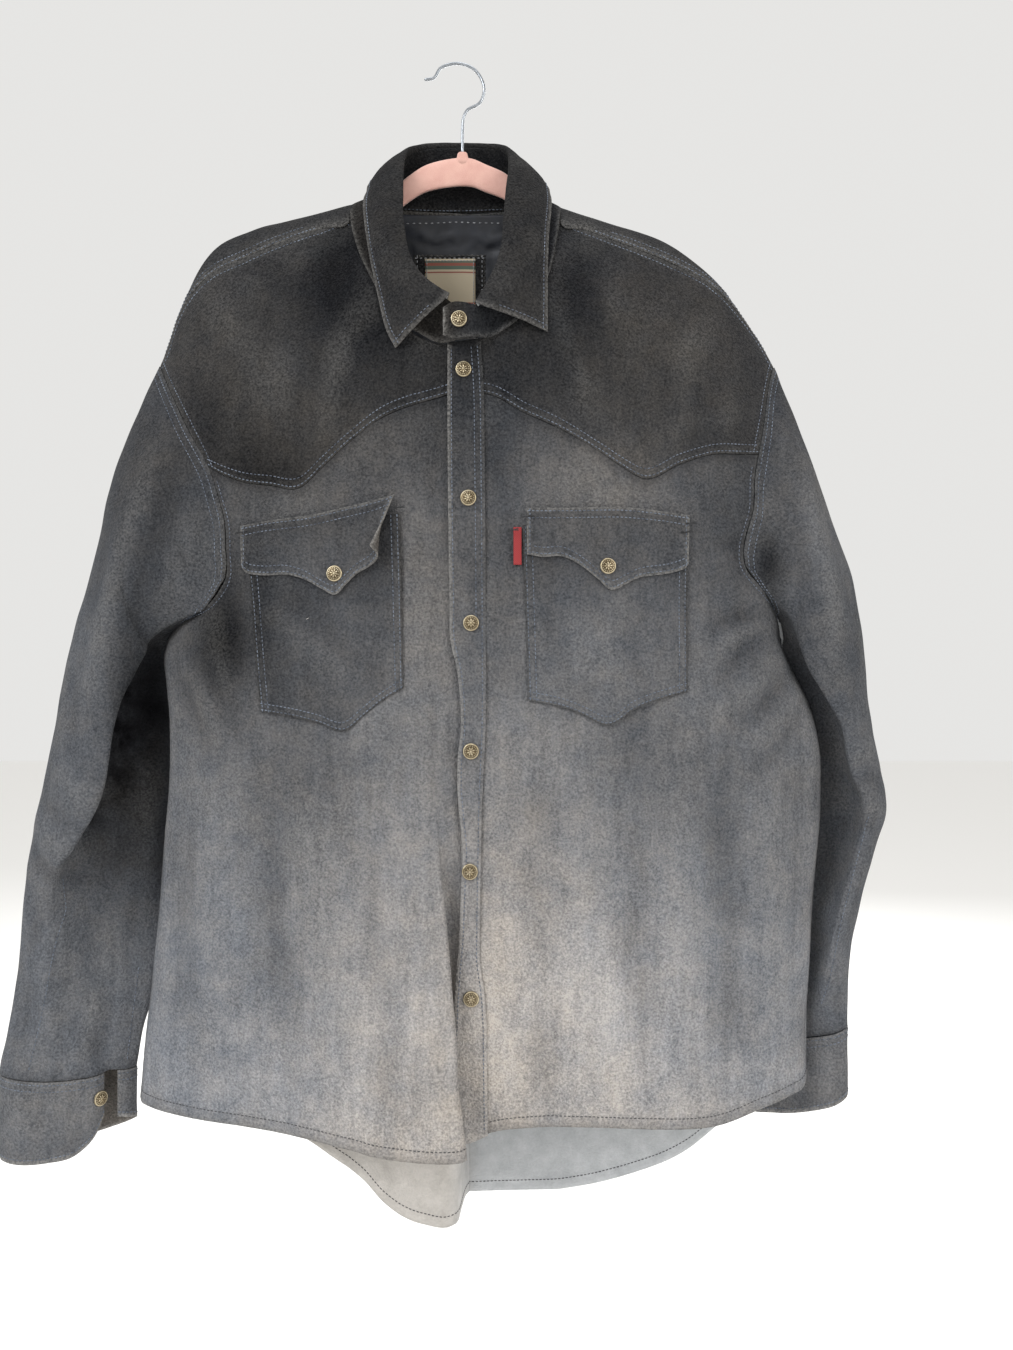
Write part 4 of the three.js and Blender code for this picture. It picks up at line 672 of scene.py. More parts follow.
def make_cloth(name, grid, slot, sign, *, closed=False, thickness=SUEDE, step=CLOTH_STEP, creases=(),
               back_creases=(), wave=(0.7, 90, 1), seams=(), rubbed=(), soiled=(), fade_and_shading=None,
               pale=0.0, brown=0.30, material=None, inside=None, outer_lift=0.0):
    """A sewn piece: its points refined, creased and puckered, given its thickness, paint and facts.

    A fourth value at the grid's points is shade painted darker there. Seams are edge, rise and reach;
    rubbed edges, and edges darkened by grime and painted shade, are each edge, amount and reach.
    """
    fine = refined(refined(np.array(grid, float), 0, step, closed), 1, step)
    shade = fine[..., 3] if fine.shape[-1] > 3 else np.zeros(fine.shape[:2])
    fine = fine[..., :3]
    normals = facing(fine, sign, closed)
    towards = np.clip(-normals[..., 1] * 1.6, -1, 1)
    lift = lie_of_creases(fine, creases) * np.clip(towards, 0, 1)
    if back_creases:
        lift += lie_of_creases(fine, back_creases) * np.clip(-towards, 0, 1)
    amount, size, seed = wave
    lift += amount * undulation(fine, size, seed)
    lift += FINE_SHARE * amount * undulation(fine, size * FINE_SIZE, seed + FINE_SEED)
    lift += outer_lift
    x, down = fine[..., 0], -fine[..., 2]
    for edge, rise, reach in seams:
        far = from_edge(fine, edge)
        along = x if edge in ("top", "bottom") else down
        pucker = PUCKER * np.sin(along * PUCKER_PITCH + 1.7 * np.sin(along * PUCKER_DRIFT))
        lift += rise * np.exp(-(far / reach) ** 2) + pucker * np.exp(-(far / PUCKER_REACH) ** 2)
    edge_calm = np.ones_like(lift)
    for edge in ("top", "bottom") if closed else ("top", "bottom", "start", "end"):
        edge_calm *= ramp(-4, 16, from_edge(fine, edge)) * (1 - CALM_LEAST) + CALM_LEAST
    outer = fine + normals * (lift * edge_calm)[..., None]
    normals = facing(outer, sign, closed)
    inner = outer - normals * thickness
    across, down_count = outer.shape[:2]
    number = np.arange(across * down_count).reshape(across, down_count)
    wrapped = np.concatenate([number, number[:1]]) if closed else number
    a, b, c, d = wrapped[:-1, :-1], wrapped[1:, :-1], wrapped[1:, 1:], wrapped[:-1, 1:]
    front_quads = np.stack([a, b, c, d], -1).reshape(-1, 4)
    if sign < 0:
        front_quads = front_quads[:, ::-1]
    back_quads = front_quads[:, ::-1] + number.size
    rims = [wrapped[:, 0], wrapped[::-1, -1]]
    if not closed:
        rims += [wrapped[-1, :], wrapped[0, ::-1]]
    rim_quads = []
    for rim in rims:
        p, q = rim[:-1], rim[1:]
        quads = np.stack([q, p, p + number.size, q + number.size], -1)
        rim_quads.append(quads if sign > 0 else quads[:, ::-1])
    faces = np.concatenate([front_quads, *rim_quads, back_quads])
    vertices = np.concatenate([outer.reshape(-1, 3), inner.reshape(-1, 3)])
    materials = [material or suede[slot], inside or suede_inside]
    piece = new_piece(name + "_cloth", vertices, faces.tolist(), materials)
    which = np.zeros(len(faces), int)
    which[-len(back_quads):] = 1
    piece.data.polygons.foreach_set("material_index", which)
    lightness, warmth = fade_and_shading_of(outer, fade_and_shading or (body_fade_and_painted_light, FRONT_FADE_AND_SHADE), pale, brown)
    rub, soil = np.zeros_like(lift), np.zeros_like(lift)
    for edge, amount, reach in rubbed:
        rub = np.maximum(rub, amount * np.exp(-(from_edge(outer, edge) / reach) ** 1.3))
    # These edges darken with grime and with painted shade where the piece lies under or against other parts.
    for edge, amount, reach in soiled:
        soil = np.maximum(soil, amount * np.exp(-(from_edge(outer, edge) / reach) ** 2))
    rub = np.clip(rub + RUB_ON_RIDGES * np.clip(lift, 0, 3), 0, 1)
    # Painted shade in the troughs and the grid's painted tuck shade join the grime and shade of the edges.
    soil = np.clip(soil + SHADE_IN_TROUGHS * np.clip(-lift, 0, 3) + shade, 0, 1)
    warm_inside = 1 - ramp(-12, 20, outer[..., 0])
    paint_values(piece, pale=np.stack([lightness] * 2), brown=np.stack([warmth, warm_inside]),
                 rub=np.stack([rub] * 2), soil=np.stack([soil] * 2))
    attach(piece, "root")
    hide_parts(name)
    return {"name": name, "piece": piece, "points": outer, "normals": normals, "slot": slot, "closed": closed,
            "tree": BVHTree.FromPolygons(outer.reshape(-1, 3).tolist(), front_quads.tolist()), "sewn": []}


def topstitch(cloth, rows, thread=None, pitch=THREAD_PITCH):
    vertices, faces = stitch_beads(rows, pitch)
    piece = new_piece(cloth["name"] + "_topstitch", vertices, faces, [thread or slate_thread])
    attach(piece, "root")
    cloth["sewn"].append(piece)


yoke_seam = {
    "right": through([
        (-201, 349), (-194, 353), (-176, 362), (-149, 366.5), (-125, 369), (-110, 356), (-91, 338),
        (-71, 323), (-51, 308), (-27, 301), (-6, 294)]),
    "left": through([
        (24, 294), (36, 302), (55, 309), (73, 317), (102, 331), (116, 340), (134, 352), (151.5, 361),
        (168, 353), (182, 348), (191, 342), (207, 339.5), (249, 336.5)]),
}
YOKE_END = {"right": (-201, 349), "left": (249, 336.5)}
FRONT_EDGE = {"right": -6, "left": 24}
armhole_front = {
    "right": through([
        (256, -253.5), (290, -235), (317, -220), (343, -206), (349, -201), (366, -195), (392, -187),
        (433, -186), (458, -199), (470, -220), (478, -240)]),
    "left": through([
        (257, 268), (276, 261), (295, 258), (319, 253), (336.5, 249), (359, 245), (386, 243.5),
        (404, 237), (423, 235), (440, 243), (451, 256), (466, 270)]),
}
armhole_back = {
    "right": through([(256, -253.5), (300, -232), (366, -212), (420, -208), (452, -218), (478, -240)]),
    "left": through([(257, 268), (300, 254), (366, 242), (410, 240), (440, 250), (466, 270)]),
}
YOKE_ROWS = [0, 0.12, 0.36, 0.68, 1]
LOBE_END = {"right": 462, "left": 452}
LOWER_ROWS = 5


def armhole_downs(side):
    tip, end = ridge_down(SHOULDER_TIP[side]), YOKE_END[side][1]
    upper = [mix(tip, end, v) for v in YOKE_ROWS]
    lower = [mix(end, LOBE_END[side], (k + 1) / LOWER_ROWS) for k in range(LOWER_ROWS)]
    return upper, lower


def armhole_point(face, side, down):
    line = armhole_front[side] if face == "front" else armhole_back[side]
    return on_body(face, ARMPIT[side][0] if down >= ARMPIT[side][1] else line(down), down)


shoulder_drop = {
    "right": through([
        (-253.5, 0), (-234, 5), (-225, 13), (-209, 27), (-169, 31), (-131, 23), (-91, 22), (-85, 22)]),
    "left": through([
        (84, 22), (90, 19), (117, 20), (146, 22), (173, 23), (183, 27), (208, 15), (220, 8),
        (234, 1), (268, 0)]),
}
NECK_FRONT = {
    "right": [(-88, 142), (-81, 166), (-69, 192), (-45, 230), (-6, 252)],
    "left": [(85, 142), (81, 164), (75, 190), (54, 225), (24, 246)],
}
YOKE_NECK_SHARE = 0.58
YOKE_COLUMNS = {
    "right": [0, 0.02, 0.07, 0.16, 0.27, 0.39, 0.49, 0.58, 0.72, 0.86],
    "left": [0, 0.02, 0.08, 0.18, 0.3, 0.432, 0.51, 0.58, 0.72, 0.86, 1],
}


def spline_point(points, t, closed=False):
    """A point of the round curve through points, with t from 0 to 1 over its spans."""
    points = np.array(points, float)
    count = len(points)
    place = t * (count if closed else count - 1)
    k = int(math.floor(place))
    w = place - k
    if not closed and k >= count - 1:
        k, w = count - 2, 1.0
    near, next_one = points[k % count], points[(k + 1) % count]
    before = points[(k - 1) % count] if closed or k > 0 else 2 * points[0] - points[1]
    after = points[(k + 2) % count] if closed or k + 2 < count else 2 * points[-1] - points[-2]
    legs = ((before, near), (near, next_one), (next_one, after))
    d0, d1, d2 = (math.sqrt(max(np.linalg.norm(b - a), 1e-6)) for a, b in legs)
    t1 = ((near - before) / d0 - (next_one - before) / (d0 + d1) + (next_one - near) / d1) * d1
    t2 = ((next_one - near) / d1 - (after - near) / (d1 + d2) + (after - next_one) / d2) * d1
    c2, c3 = -3 * near + 3 * next_one - 2 * t1 - t2, 2 * near - 2 * next_one + t1 + t2
    return near + t1 * w + c2 * w * w + c3 * w ** 3


def yoke_top(side, share):
    if share <= YOKE_NECK_SHARE:
        x = mix(SHOULDER_TIP[side], NECK_CORNER[side], share / YOKE_NECK_SHARE)
        return x, float(ridge_down(x) + shoulder_drop[side](x))
    curve = [(x, 0, down) for x, down in NECK_FRONT[side]]
    x, _, down = spline_point(curve, (share - YOKE_NECK_SHARE) / (1 - YOKE_NECK_SHARE))
    return x, down


def yoke_bottom(side, share):
    x = mix(YOKE_END[side][0], FRONT_EDGE[side], share)
    return x, float(yoke_seam[side](x))


LAP = 2.3


def lap_dip(x):
    return LAP * ramp(-26, -12, x)


def yoke_grid(side):
    downs = armhole_downs(side)[0]
    columns = []
    for share in YOKE_COLUMNS[side]:
        (top_x, top_down), (low_x, low_down) = yoke_top(side, share), yoke_bottom(side, share)
        columns.append([
            armhole_point("front", side, downs[j])[0] if share == 0
            else on_body("front", mix(top_x, low_x, v), mix(top_down, low_down, v))[0]
            for j, v in enumerate(YOKE_ROWS)])
    return columns


FLAT_EDGE = [-30, -25, -21, -18, -15.5, -13.5, -11.5, -9, 5, 20]
UNDER_PLACKET = [12, -4]


def centre_column(side, x):
    neck, seam = mix(252, 240, ramp(-12, -50, x)), yoke_seam[side](x)
    return [on_body("front", x, mix(neck, seam, v))[0] for v in YOKE_ROWS]


YOKE_CREASES = {
    "right": [
        (9, -1.6, [(-236, 250), (-205, 300), (-196, 345)]),
        (14, 1.2, [(-215, 200), (-170, 250), (-150, 300)]),
        (12, -1.3, [(-95, 160), (-110, 220), (-120, 300)]), (10, 1.0, [(-70, 210), (-90, 260), (-110, 330)]),
        (16, -1.2, [(-60, 240), (-70, 290)]), (10, -0.9, [(-190, 170), (-150, 190), (-120, 230)]),
    ],
    "left": [
        (9, -1.6, [(250, 262), (240, 300), (236, 335)]), (14, 1.2, [(225, 205), (190, 250), (180, 310)]),
        (12, -1.4, [(95, 165), (110, 225), (125, 310)]), (10, 1.0, [(75, 215), (95, 265), (130, 330)]),
        (16, -1.2, [(60, 240), (72, 290)]), (11, -1.0, [(190, 180), (150, 200), (130, 250)]),
        (9, -1.2, [(232, 322), (200, 330), (170, 345)]),
    ],
}
INNER_ROW, OUTER_ROW = 2, 8
YOKE_ROWS_END = {"right": 0.93, "left": 0.95}
for side in SIDES:
    if side == "right":
        columns = [[p + spot(0, lap_dip(p[0]), 0) for p in column]
                   for column in yoke_grid(side) + [centre_column(side, x) for x in FLAT_EDGE]]
    else:
        columns = yoke_grid(side) + [centre_column(side, x) for x in UNDER_PLACKET]
    yoke = make_cloth(
        f"{side}_front_yoke", pulled_in(columns, ("top", "bottom", "start")), "dark_suede",
        FACING[side], creases=YOKE_CREASES[side], wave=(0.9, 80, own_seed(3, side)),
        seams=(("bottom", 0.9, 9), ("top", -0.3, 5), ("start", -0.4, 5)),
        rubbed=(("top", 0.14, 4), ("bottom", 0.10, 2), ("start", 0.10, 2)),
        soiled=(("bottom", 0.10, 5),), fade_and_shading=(yoke_fade_and_painted_light, FRONT_FADE_AND_SHADE), brown=0.42)
    topstitch(yoke, [
        edge_row(yoke, "bottom", INNER_ROW, 0, YOKE_ROWS_END[side]),
        edge_row(yoke, "bottom", OUTER_ROW, 0.01, YOKE_ROWS_END[side]),
        edge_row(yoke, "top", 5, 0.0, 0.54),
        edge_row(yoke, "start", 5, 0.0, 0.98),
    ])

# Front panels
# The two fronts below the yokes. The right front's edge runs on under the left one and, low
# down, rolls forward over the placket and back behind it, as the jacket hangs crooked.

SIDE_ROWS = {
    "right": [478, 500, 525, 560, 605, 660, 720, 775, 825, 875],
    "left": [466, 490, 515, 543, 580, 630, 690, 750, 810, 859],
}
hem_front = {
    "right": through([
        (-269, 875), (-200, 878), (-158, 880), (-92, 886), (-45, 891), (-7, 893), (20, 889)]),
    "left": through([
        (-6, 893), (9, 892), (28, 884), (75, 879), (124, 881), (173, 884), (200, 885), (226, 880),
        (260, 870), (287, 864), (296, 859)]),
}
fold_share = through([
    (540, 0), (640, 0.15), (700, 0.4), (755, 0.63), (800, 0.7), (830, 0.79), (868, 0.92), (893, 1)])
ROLLED_EDGE = [
    (-20, 0), (-3, 0), (7, 3), (10.5, 8), (5, 14), (-5, 23), (-10, 33), (-8, 38.5), (6, 39.5), (20, 39.5)]
ROLL_DEPTH = 39.5
BEHIND_PLACKET = 7
placket_left = through([
    (222, -6), (250, -6.2), (491, -3.5), (505, 0), (530, 4), (560, 5), (595, 2), (620, 3), (655, 6.5),
    (690, 5), (722, 3.9), (770, 0), (820, -2), (893, -3)])
placket_right = through([
    (250, 20), (295, 23), (540, 24.8), (633, 21.6), (740, 20), (782, 24.8), (890, 26.2)])


def panel_downs(side):
    return [YOKE_END[side][1], *armhole_downs(side)[1], *SIDE_ROWS[side]]


def with_shares(downs):
    """Each height of a side with its share of the way down, from 0 to 1."""
    return [(down, (down - downs[0]) / (downs[-1] - downs[0])) for down in downs]


def panel_column(side, share):
    downs = panel_downs(side)
    top_down = yoke_bottom(side, share)[1]
    hem_x = mix(float(side_outline[side](downs[-1])), FRONT_EDGE[side], share)
    hem_down = float(hem_front[side](hem_x))
    column = []
    for side_down, v in with_shares(downs):
        down = side_down if share == 0 else mix(top_down, hem_down, v)
        edge_down = side_down if side_down < ARMPIT[side][1] else down
        outline = armhole_front if edge_down < ARMPIT[side][1] else side_outline
        x = mix(float(outline[side](edge_down)), FRONT_EDGE[side], share)
        column.append(on_body("front", x, down)[0])
    return column


def panel_down(side, x, v):
    return mix(float(yoke_seam[side](x)), float(hem_front[side](x)), v)


def right_edge_columns():
    columns = []
    for k, (flat_x, (rolled_x, back)) in enumerate(zip(FLAT_EDGE, ROLLED_EDGE)):
        column = []
        for _, v in with_shares(panel_downs("right")):
            down = panel_down("right", flat_x, v)
            roll = float(fold_share(down))
            flat_y = front_y(min(mix(flat_x, rolled_x, roll), CENTRE_X - 0.1), down) + lap_dip(flat_x)
            under_y = front_y(CENTRE_X + 0.1, down) + LAP
            rolled_y = mix(front_y(-10, down), under_y, back / ROLL_DEPTH)
            behind = ramp(0.08, 0.42, roll) if k == BEHIND_PLACKET else roll
            y = under_y if k > BEHIND_PLACKET else mix(flat_y, rolled_y, behind)
            column.append(spot(mix(flat_x, rolled_x, roll), y, -down))
        columns.append(column)
    return columns


def under_placket_columns():
    columns = []
    for top_x in UNDER_PLACKET:
        column = []
        for _, v in with_shares(panel_downs("left")):
            down = panel_down("left", top_x, v)
            x = max(top_x, float(placket_left(down)) + 1) if top_x < CENTRE_X else top_x
            column.append(spot(x, front_y(max(x, CENTRE_X + 0.1), down), -down))
        columns.append(column)
    return columns


PANEL_CREASES = {
    "right": [
        (8, -2.2, [(-236, 484), (-205, 520), (-180, 560), (-165, 590)]),
        (7, -1.6, [(-240, 500), (-215, 545), (-200, 590)]),
        (9, 1.7, [(-232, 492), (-200, 545), (-172, 590)]),
        (8, -1.5, [(-186, 440), (-178, 490), (-172, 540)]),
        (10, 1.3, [(-196, 452), (-186, 500), (-184, 550)]),
        (18, 1.8, [(-120, 590), (-112, 680), (-96, 780), (-84, 870)]),
        (16, -1.8, [(-150, 600), (-146, 690), (-132, 790), (-126, 860)]),
        (15, -1.6, [(-64, 600), (-62, 700), (-56, 800), (-50, 880)]),
        (12, 1.3, [(-200, 610), (-198, 700), (-192, 800)]),
        (13, -1.6, [(-222, 620), (-224, 720), (-222, 820)]),
        (4, -0.8, [(-46, 770), (-45, 830), (-47, 884)]), (3.5, -0.7, [(-39, 800), (-38, 850), (-40, 880)]),
        (10, 0.9, [(-34, 320), (-32, 420), (-34, 520)]),
        (9, -1.0, [(-48, 560), (-36, 640), (-34, 720)]),
        (8, 0.8, [(-28, 560), (-24, 640), (-22, 700)]),
    ],
    "left": [
        (7, -2.4, [(264, 470), (236, 472), (205, 478)]), (8, -2.0, [(262, 480), (235, 500), (205, 530)]),
        (8, 1.8, [(262, 474), (236, 485), (206, 502)]), (9, -1.8, [(280, 515), (250, 545), (220, 565)]),
        (9, 1.5, [(272, 500), (246, 528), (214, 548)]), (9, -1.6, [(292, 545), (262, 580), (240, 600)]),
        (9, 1.2, [(290, 530), (260, 560), (232, 584)]), (6, -1.5, [(256, 410), (225, 412), (200, 420)]),
        (15, -2.0, [(216, 580), (214, 680), (220, 780), (226, 850)]),
        (18, 1.8, [(180, 590), (178, 690), (186, 790), (190, 860)]),
        (16, -1.7, [(140, 600), (146, 700), (150, 800), (154, 870)]),
        (18, 1.4, [(104, 600), (108, 700), (110, 800), (112, 860)]),
        (15, -1.3, [(66, 590), (70, 700), (72, 800), (74, 860)]),
        (12, 1.3, [(250, 610), (256, 700), (262, 800)]), (11, -1.4, [(276, 610), (280, 700), (278, 790)]),
        (9, -1.1, [(40, 320), (42, 420), (44, 540)]), (9, 0.9, [(32, 560), (34, 650), (32, 740)]),
    ],
}
HEM_FOLD = 9
for side in SIDES:
    columns = [panel_column(side, share) for share in YOKE_COLUMNS[side]]
    columns += right_edge_columns() if side == "right" else under_placket_columns()
    panel = make_cloth(
        f"{side}_front_panel", pulled_in(columns, ("top", "start")), "faded_suede",
        FACING[side], creases=PANEL_CREASES[side], wave=(1.1, 110, own_seed(11, side)),
        seams=(("top", -0.4, 8), ("start", -0.5, 7), ("bottom", 0.5, 8)),
        rubbed=(("bottom", 0.35, 2), ("end", 0.15, 2), ("start", 0.12, 2)),
        soiled=(("top", 0.35, 6), ("start", 0.25, 9), ("bottom", 0.30, 8)), brown=0.30)
    topstitch(panel, [edge_row(panel, "start", 4, 0.02, 0.26)])
    hem = {**panel, "name": f"{side}_front_hem"}
    topstitch(hem, [edge_row(panel, "bottom", HEM_FOLD, 0.0, 0.98)], hem_thread)

# Back yoke and back panel
# The back yoke comes forward over the shoulders to the front seams and ends in a low point.
# The back panel hangs from it with a long rounded tail; its right half swings forward and
# laps over the left half along one deep fold. The pale flesh side shows below the front hem.

BACK_FOLD_COLUMNS = [-2.5, 0, 2.5, 5]
BACK_YOKE_END = 300
back_seam_side = {
    "right": through([(-232, 300), (-110, 290), (-40, 315)]),
    "left": through([(56, 315), (122, 290), (254, 300)]),
}
OVER_FRONT = [0, 0.4, 0.75, 1]
OVER_BACK = [0.03, 0.08, 0.16, 0.28, 0.45, 0.7, 1]
OVER_DOWNS = [0, 0.04, 0.08, 0.12, 0.18, 0.25, 0.34, 0.46, 0.6, 0.78, 1]
BACK_NECK = [
    (-86.5, 0, -76), (-76, 8, -66), (-60, 14, -53), (-38, 18, -40), (-17, 21, -22), (-4, 22, -5),
    (8, 23, 8), (20, 22, 22), (36, 19, 40), (56, 14, 56), (74, 8, 66), (83.5, 0, 76)]
ARMHOLE_BACK_ROWS = [0, 0.33, 0.62, 0.84]
hem_back = through([
    (-269, 875), (-225, 880), (-180, 887), (-137, 900), (-112, 915), (-81, 935), (-53, 963), (-33, 973),
    (-11, 977), (2, 974), (36, 973), (79, 972), (110, 967), (143, 957), (175, 942), (207, 924),
    (226, 904), (255, 880), (296, 860)])


def back_yoke_seam(x):
    if x < -40:
        return float(back_seam_side["right"](x))
    return float(back_seam_side["left"](x)) if x > 56 else 345 - 30 / 48 * abs(x - CENTRE_X)


def back_yoke_column(top_x, top_over, low_x):
    low_over = over_for(back_yoke_seam(low_x) - float(ridge_down(low_x)))
    crest = max(0, top_over + 4)
    overs = [mix(top_over, crest, v) for v in OVER_FRONT] + [mix(crest, low_over, v) for v in OVER_BACK]
    xs = [mix(top_x, low_x, (j / (len(overs) - 1)) ** 1.5) for j in range(len(overs))]
    return [over_ridge(x, over)[0] for x, over in zip(xs, overs)]


def shoulder_shares(side):
    return [share for share in YOKE_COLUMNS[side] if share <= YOKE_NECK_SHARE]


def back_shoulder(side):
    tip = float(ridge_down(SHOULDER_TIP[side]))
    columns = []
    for share in shoulder_shares(side):
        if share == 0:
            columns.append([armhole_point("back", side, mix(tip, BACK_YOKE_END, v))[0] for v in OVER_DOWNS])
            continue
        along = share / YOKE_NECK_SHARE
        x = mix(SHOULDER_TIP[side], NECK_CORNER[side], along)
        low_x = mix(float(armhole_back[side](BACK_YOKE_END)), NECK_CORNER[side], along)
        columns.append(back_yoke_column(x, -over_for(float(shoulder_drop[side](x))), low_x))
    return columns


BACK_YOKE_CREASES = [
    (10, -1.6, [(-225, 250), (-150, 240), (-90, 270)]), (12, 1.3, [(-200, 190), (-140, 210), (-90, 240)]),
    (10, -1.5, [(240, 250), (160, 240), (100, 268)]), (12, 1.3, [(205, 195), (150, 212), (100, 240)]),
    (14, -1.4, [(-60, 150), (-20, 190), (10, 200), (50, 190), (80, 150)]),
    (12, 1.1, [(-70, 180), (-20, 230), (30, 232), (80, 186)]),
]
neck_columns = [back_yoke_column(x, over, low_x) for x, over, low_x in BACK_NECK]
columns = back_shoulder("right") + neck_columns + back_shoulder("left")[::-1]
back_yoke = make_cloth(
    "back_yoke", pulled_in(columns, ("top", "bottom", "start", "end")), "dark_suede", 1,
    creases=YOKE_CREASES["right"], back_creases=BACK_YOKE_CREASES, wave=(0.8, 90, 21),
    seams=(("bottom", 0.9, 9), ("top", 0.9, 8), ("start", -0.4, 6), ("end", -0.4, 6)),
    rubbed=(("top", 0.25, 5), ("bottom", 0.1, 2)), soiled=(("bottom", 0.15, 6),),
    fade_and_shading=(yoke_fade_and_painted_light, FRONT_FADE_AND_SHADE), brown=0.42, inside=suede["dark_suede"])
topstitch(back_yoke, [
    edge_row(back_yoke, "top", INNER_ROW, 0.01, 0.30), edge_row(back_yoke, "top", OUTER_ROW, 0.01, 0.28),
    edge_row(back_yoke, "top", INNER_ROW, 0.69, 0.99), edge_row(back_yoke, "top", OUTER_ROW, 0.71, 0.99),
    edge_row(back_yoke, "bottom", INNER_ROW), edge_row(back_yoke, "bottom", OUTER_ROW),
])


def back_seam_xs(side):
    end = float(armhole_back[side](BACK_YOKE_END))
    shoulder = [mix(end, NECK_CORNER[side], share / YOKE_NECK_SHARE) for share in shoulder_shares(side)]
    neck = [low_x for _, _, low_x in BACK_NECK if (low_x < CENTRE_X) == (side == "right")]
    return shoulder + (neck if side == "right" else neck[::-1])


def back_panel_column(side, seam_x):
    inner = -5 if side == "right" else 8
    armpit = ARMPIT[side][1]

    def edge_x(down):
        return float((armhole_back if down < armpit else side_outline)[side](down))

    downs = [mix(BACK_YOKE_END, armpit, v) for v in ARMHOLE_BACK_ROWS] + SIDE_ROWS[side]
    share = (seam_x - edge_x(BACK_YOKE_END)) / (inner - edge_x(BACK_YOKE_END))
    hem_x = mix(float(side_outline[side](downs[-1])), inner, share)
    column = []
    for side_down, v in with_shares(downs):
        down = side_down if share == 0 else mix(back_yoke_seam(seam_x), float(hem_back(hem_x)), v)
        edge_down = side_down if side_down < armpit else down
        column.append(on_body("back", mix(edge_x(edge_down), inner, share), down)[0])
    return column


BACK_CREASES = [
    (8, -2.2, [(-236, 486), (-200, 520), (-160, 545)]), (9, 1.8, [(-232, 500), (-196, 545), (-150, 575)]),
    (8, -2.0, [(266, 476), (230, 505), (190, 530)]), (9, 1.7, [(276, 500), (240, 535), (196, 560)]),
    (14, -1.6, [(-215, 330), (-150, 350), (-80, 345)]), (14, -1.5, [(235, 330), (170, 352), (90, 345)]),
    (18, 2.0, [(-60, 380), (-66, 520), (-70, 680), (-66, 860)]),
    (17, -2.0, [(-104, 400), (-112, 560), (-116, 720), (-112, 860)]),
    (18, 1.8, [(-160, 520), (-166, 640), (-164, 780)]), (15, -1.8, [(-208, 560), (-212, 680), (-210, 800)]),
    (18, 2.0, [(60, 380), (68, 520), (76, 680), (78, 880)]),
    (17, -2.0, [(108, 400), (118, 560), (124, 720), (124, 880)]),
    (18, 1.8, [(170, 520), (178, 640), (180, 800)]), (15, -1.8, [(226, 560), (232, 680), (230, 800)]),
    (14, -1.4, [(30, 420), (32, 580), (30, 760)]), (12, 1.2, [(-32, 560), (-36, 700), (-32, 900)]),
]
columns = [back_panel_column("right", x) for x in back_seam_xs("right")]
columns += [back_panel_column("right", x) for x in BACK_FOLD_COLUMNS]
columns += [back_panel_column("left", x) for x in back_seam_xs("left")][::-1]
BACK_FADE = [
    (-120, 820, 80, 130, 0.08, 0.25), (140, 760, 90, 140, 0.08, 0.20), (0, 400, 130, 60, -0.04, 0.20),
    (-235, 640, 50, 200, -0.12, -0.10), (265, 640, 50, 200, -0.12, -0.10), (40, 600, 40, 90, -0.08, -0.05),
    (-60, 560, 50, 90, 0.05, 0.10)]
back_panel = make_cloth(
    "back_panel", pulled_in(columns, ("top", "start", "end")), "faded_suede", 1,
    back_creases=BACK_CREASES, wave=(1.1, 120, 23), fade_and_shading=(body_fade_and_painted_light, BACK_FADE),
    seams=(("top", -0.4, 8), ("start", -0.5, 7), ("end", -0.5, 7), ("bottom", 0.4, 8)),
    rubbed=(("bottom", 0.35, 2),), soiled=(("top", 0.3, 7), ("start", 0.2, 8), ("end", 0.2, 8)),
    brown=0.28)
topstitch(back_panel, [edge_row(back_panel, "start", 4), edge_row(back_panel, "end", 4)])
hem_row, hem_way = edge_row(back_panel, "bottom", HEM_FOLD)
topstitch({**back_panel, "name": "back_panel_hem"}, [
    (hem_row, hem_way), (hem_row - hem_way * SUEDE, -hem_way)], hem_thread)

# Placket
# A doubled strip sewn down the edge of the left front with a row along each side. Its left
# edge is raw and wavy, and worn pale from the third snap down.

PLACKET_ROWS = 27
REST_GAP = 0.5
columns = []
for share in (0, 0.25, 0.5, 0.75, 1):
    across = mix(float(placket_left(500)), float(placket_right(500)), share)
    top, low = mix(253, 249, share), float(hem_front["left"](across))
    column = []
    for j in range(PLACKET_ROWS + 1):
        down = mix(top, low, j / PLACKET_ROWS)
        x = mix(float(placket_left(down)), float(placket_right(down)), share)
        seat, way = on_body("front", max(x, CENTRE_X + 0.1), down)
        column.append(spot(x, seat[1], -down) + way * (SUEDE + REST_GAP))
    columns.append(column)
placket = make_cloth(
    "placket_band", columns, "grey_suede", -1, wave=(0.35, 60, 31), step=2.6,
    creases=[
        (5, -0.6, [(0, 600), (12, 612)]), (5, -0.6, [(2, 700), (14, 690)]), (6, 0.5, [(14, 330), (12, 420)])],
    seams=(("start", 0.5, 4), ("end", 0.4, 4)),
    rubbed=(("start", 0.55, 1.6), ("end", 0.12, 2), ("bottom", 0.3, 2)),
    pale=-0.025, brown=0.24)
topstitch(placket, [
    edge_row(placket, "start", 3.2, 0.01, 0.99), edge_row(placket, "end", 3.0, 0.01, 0.99),
    edge_row(placket, "end", 8.0, 0.01, 0.35),
])

# Pockets, flaps and side tape
# Two patch pockets with a pointed foot, each under a flap with a small point and one snap.
# The right flap's inner corner has curled forward. A folded tape is caught in the left one's seam.

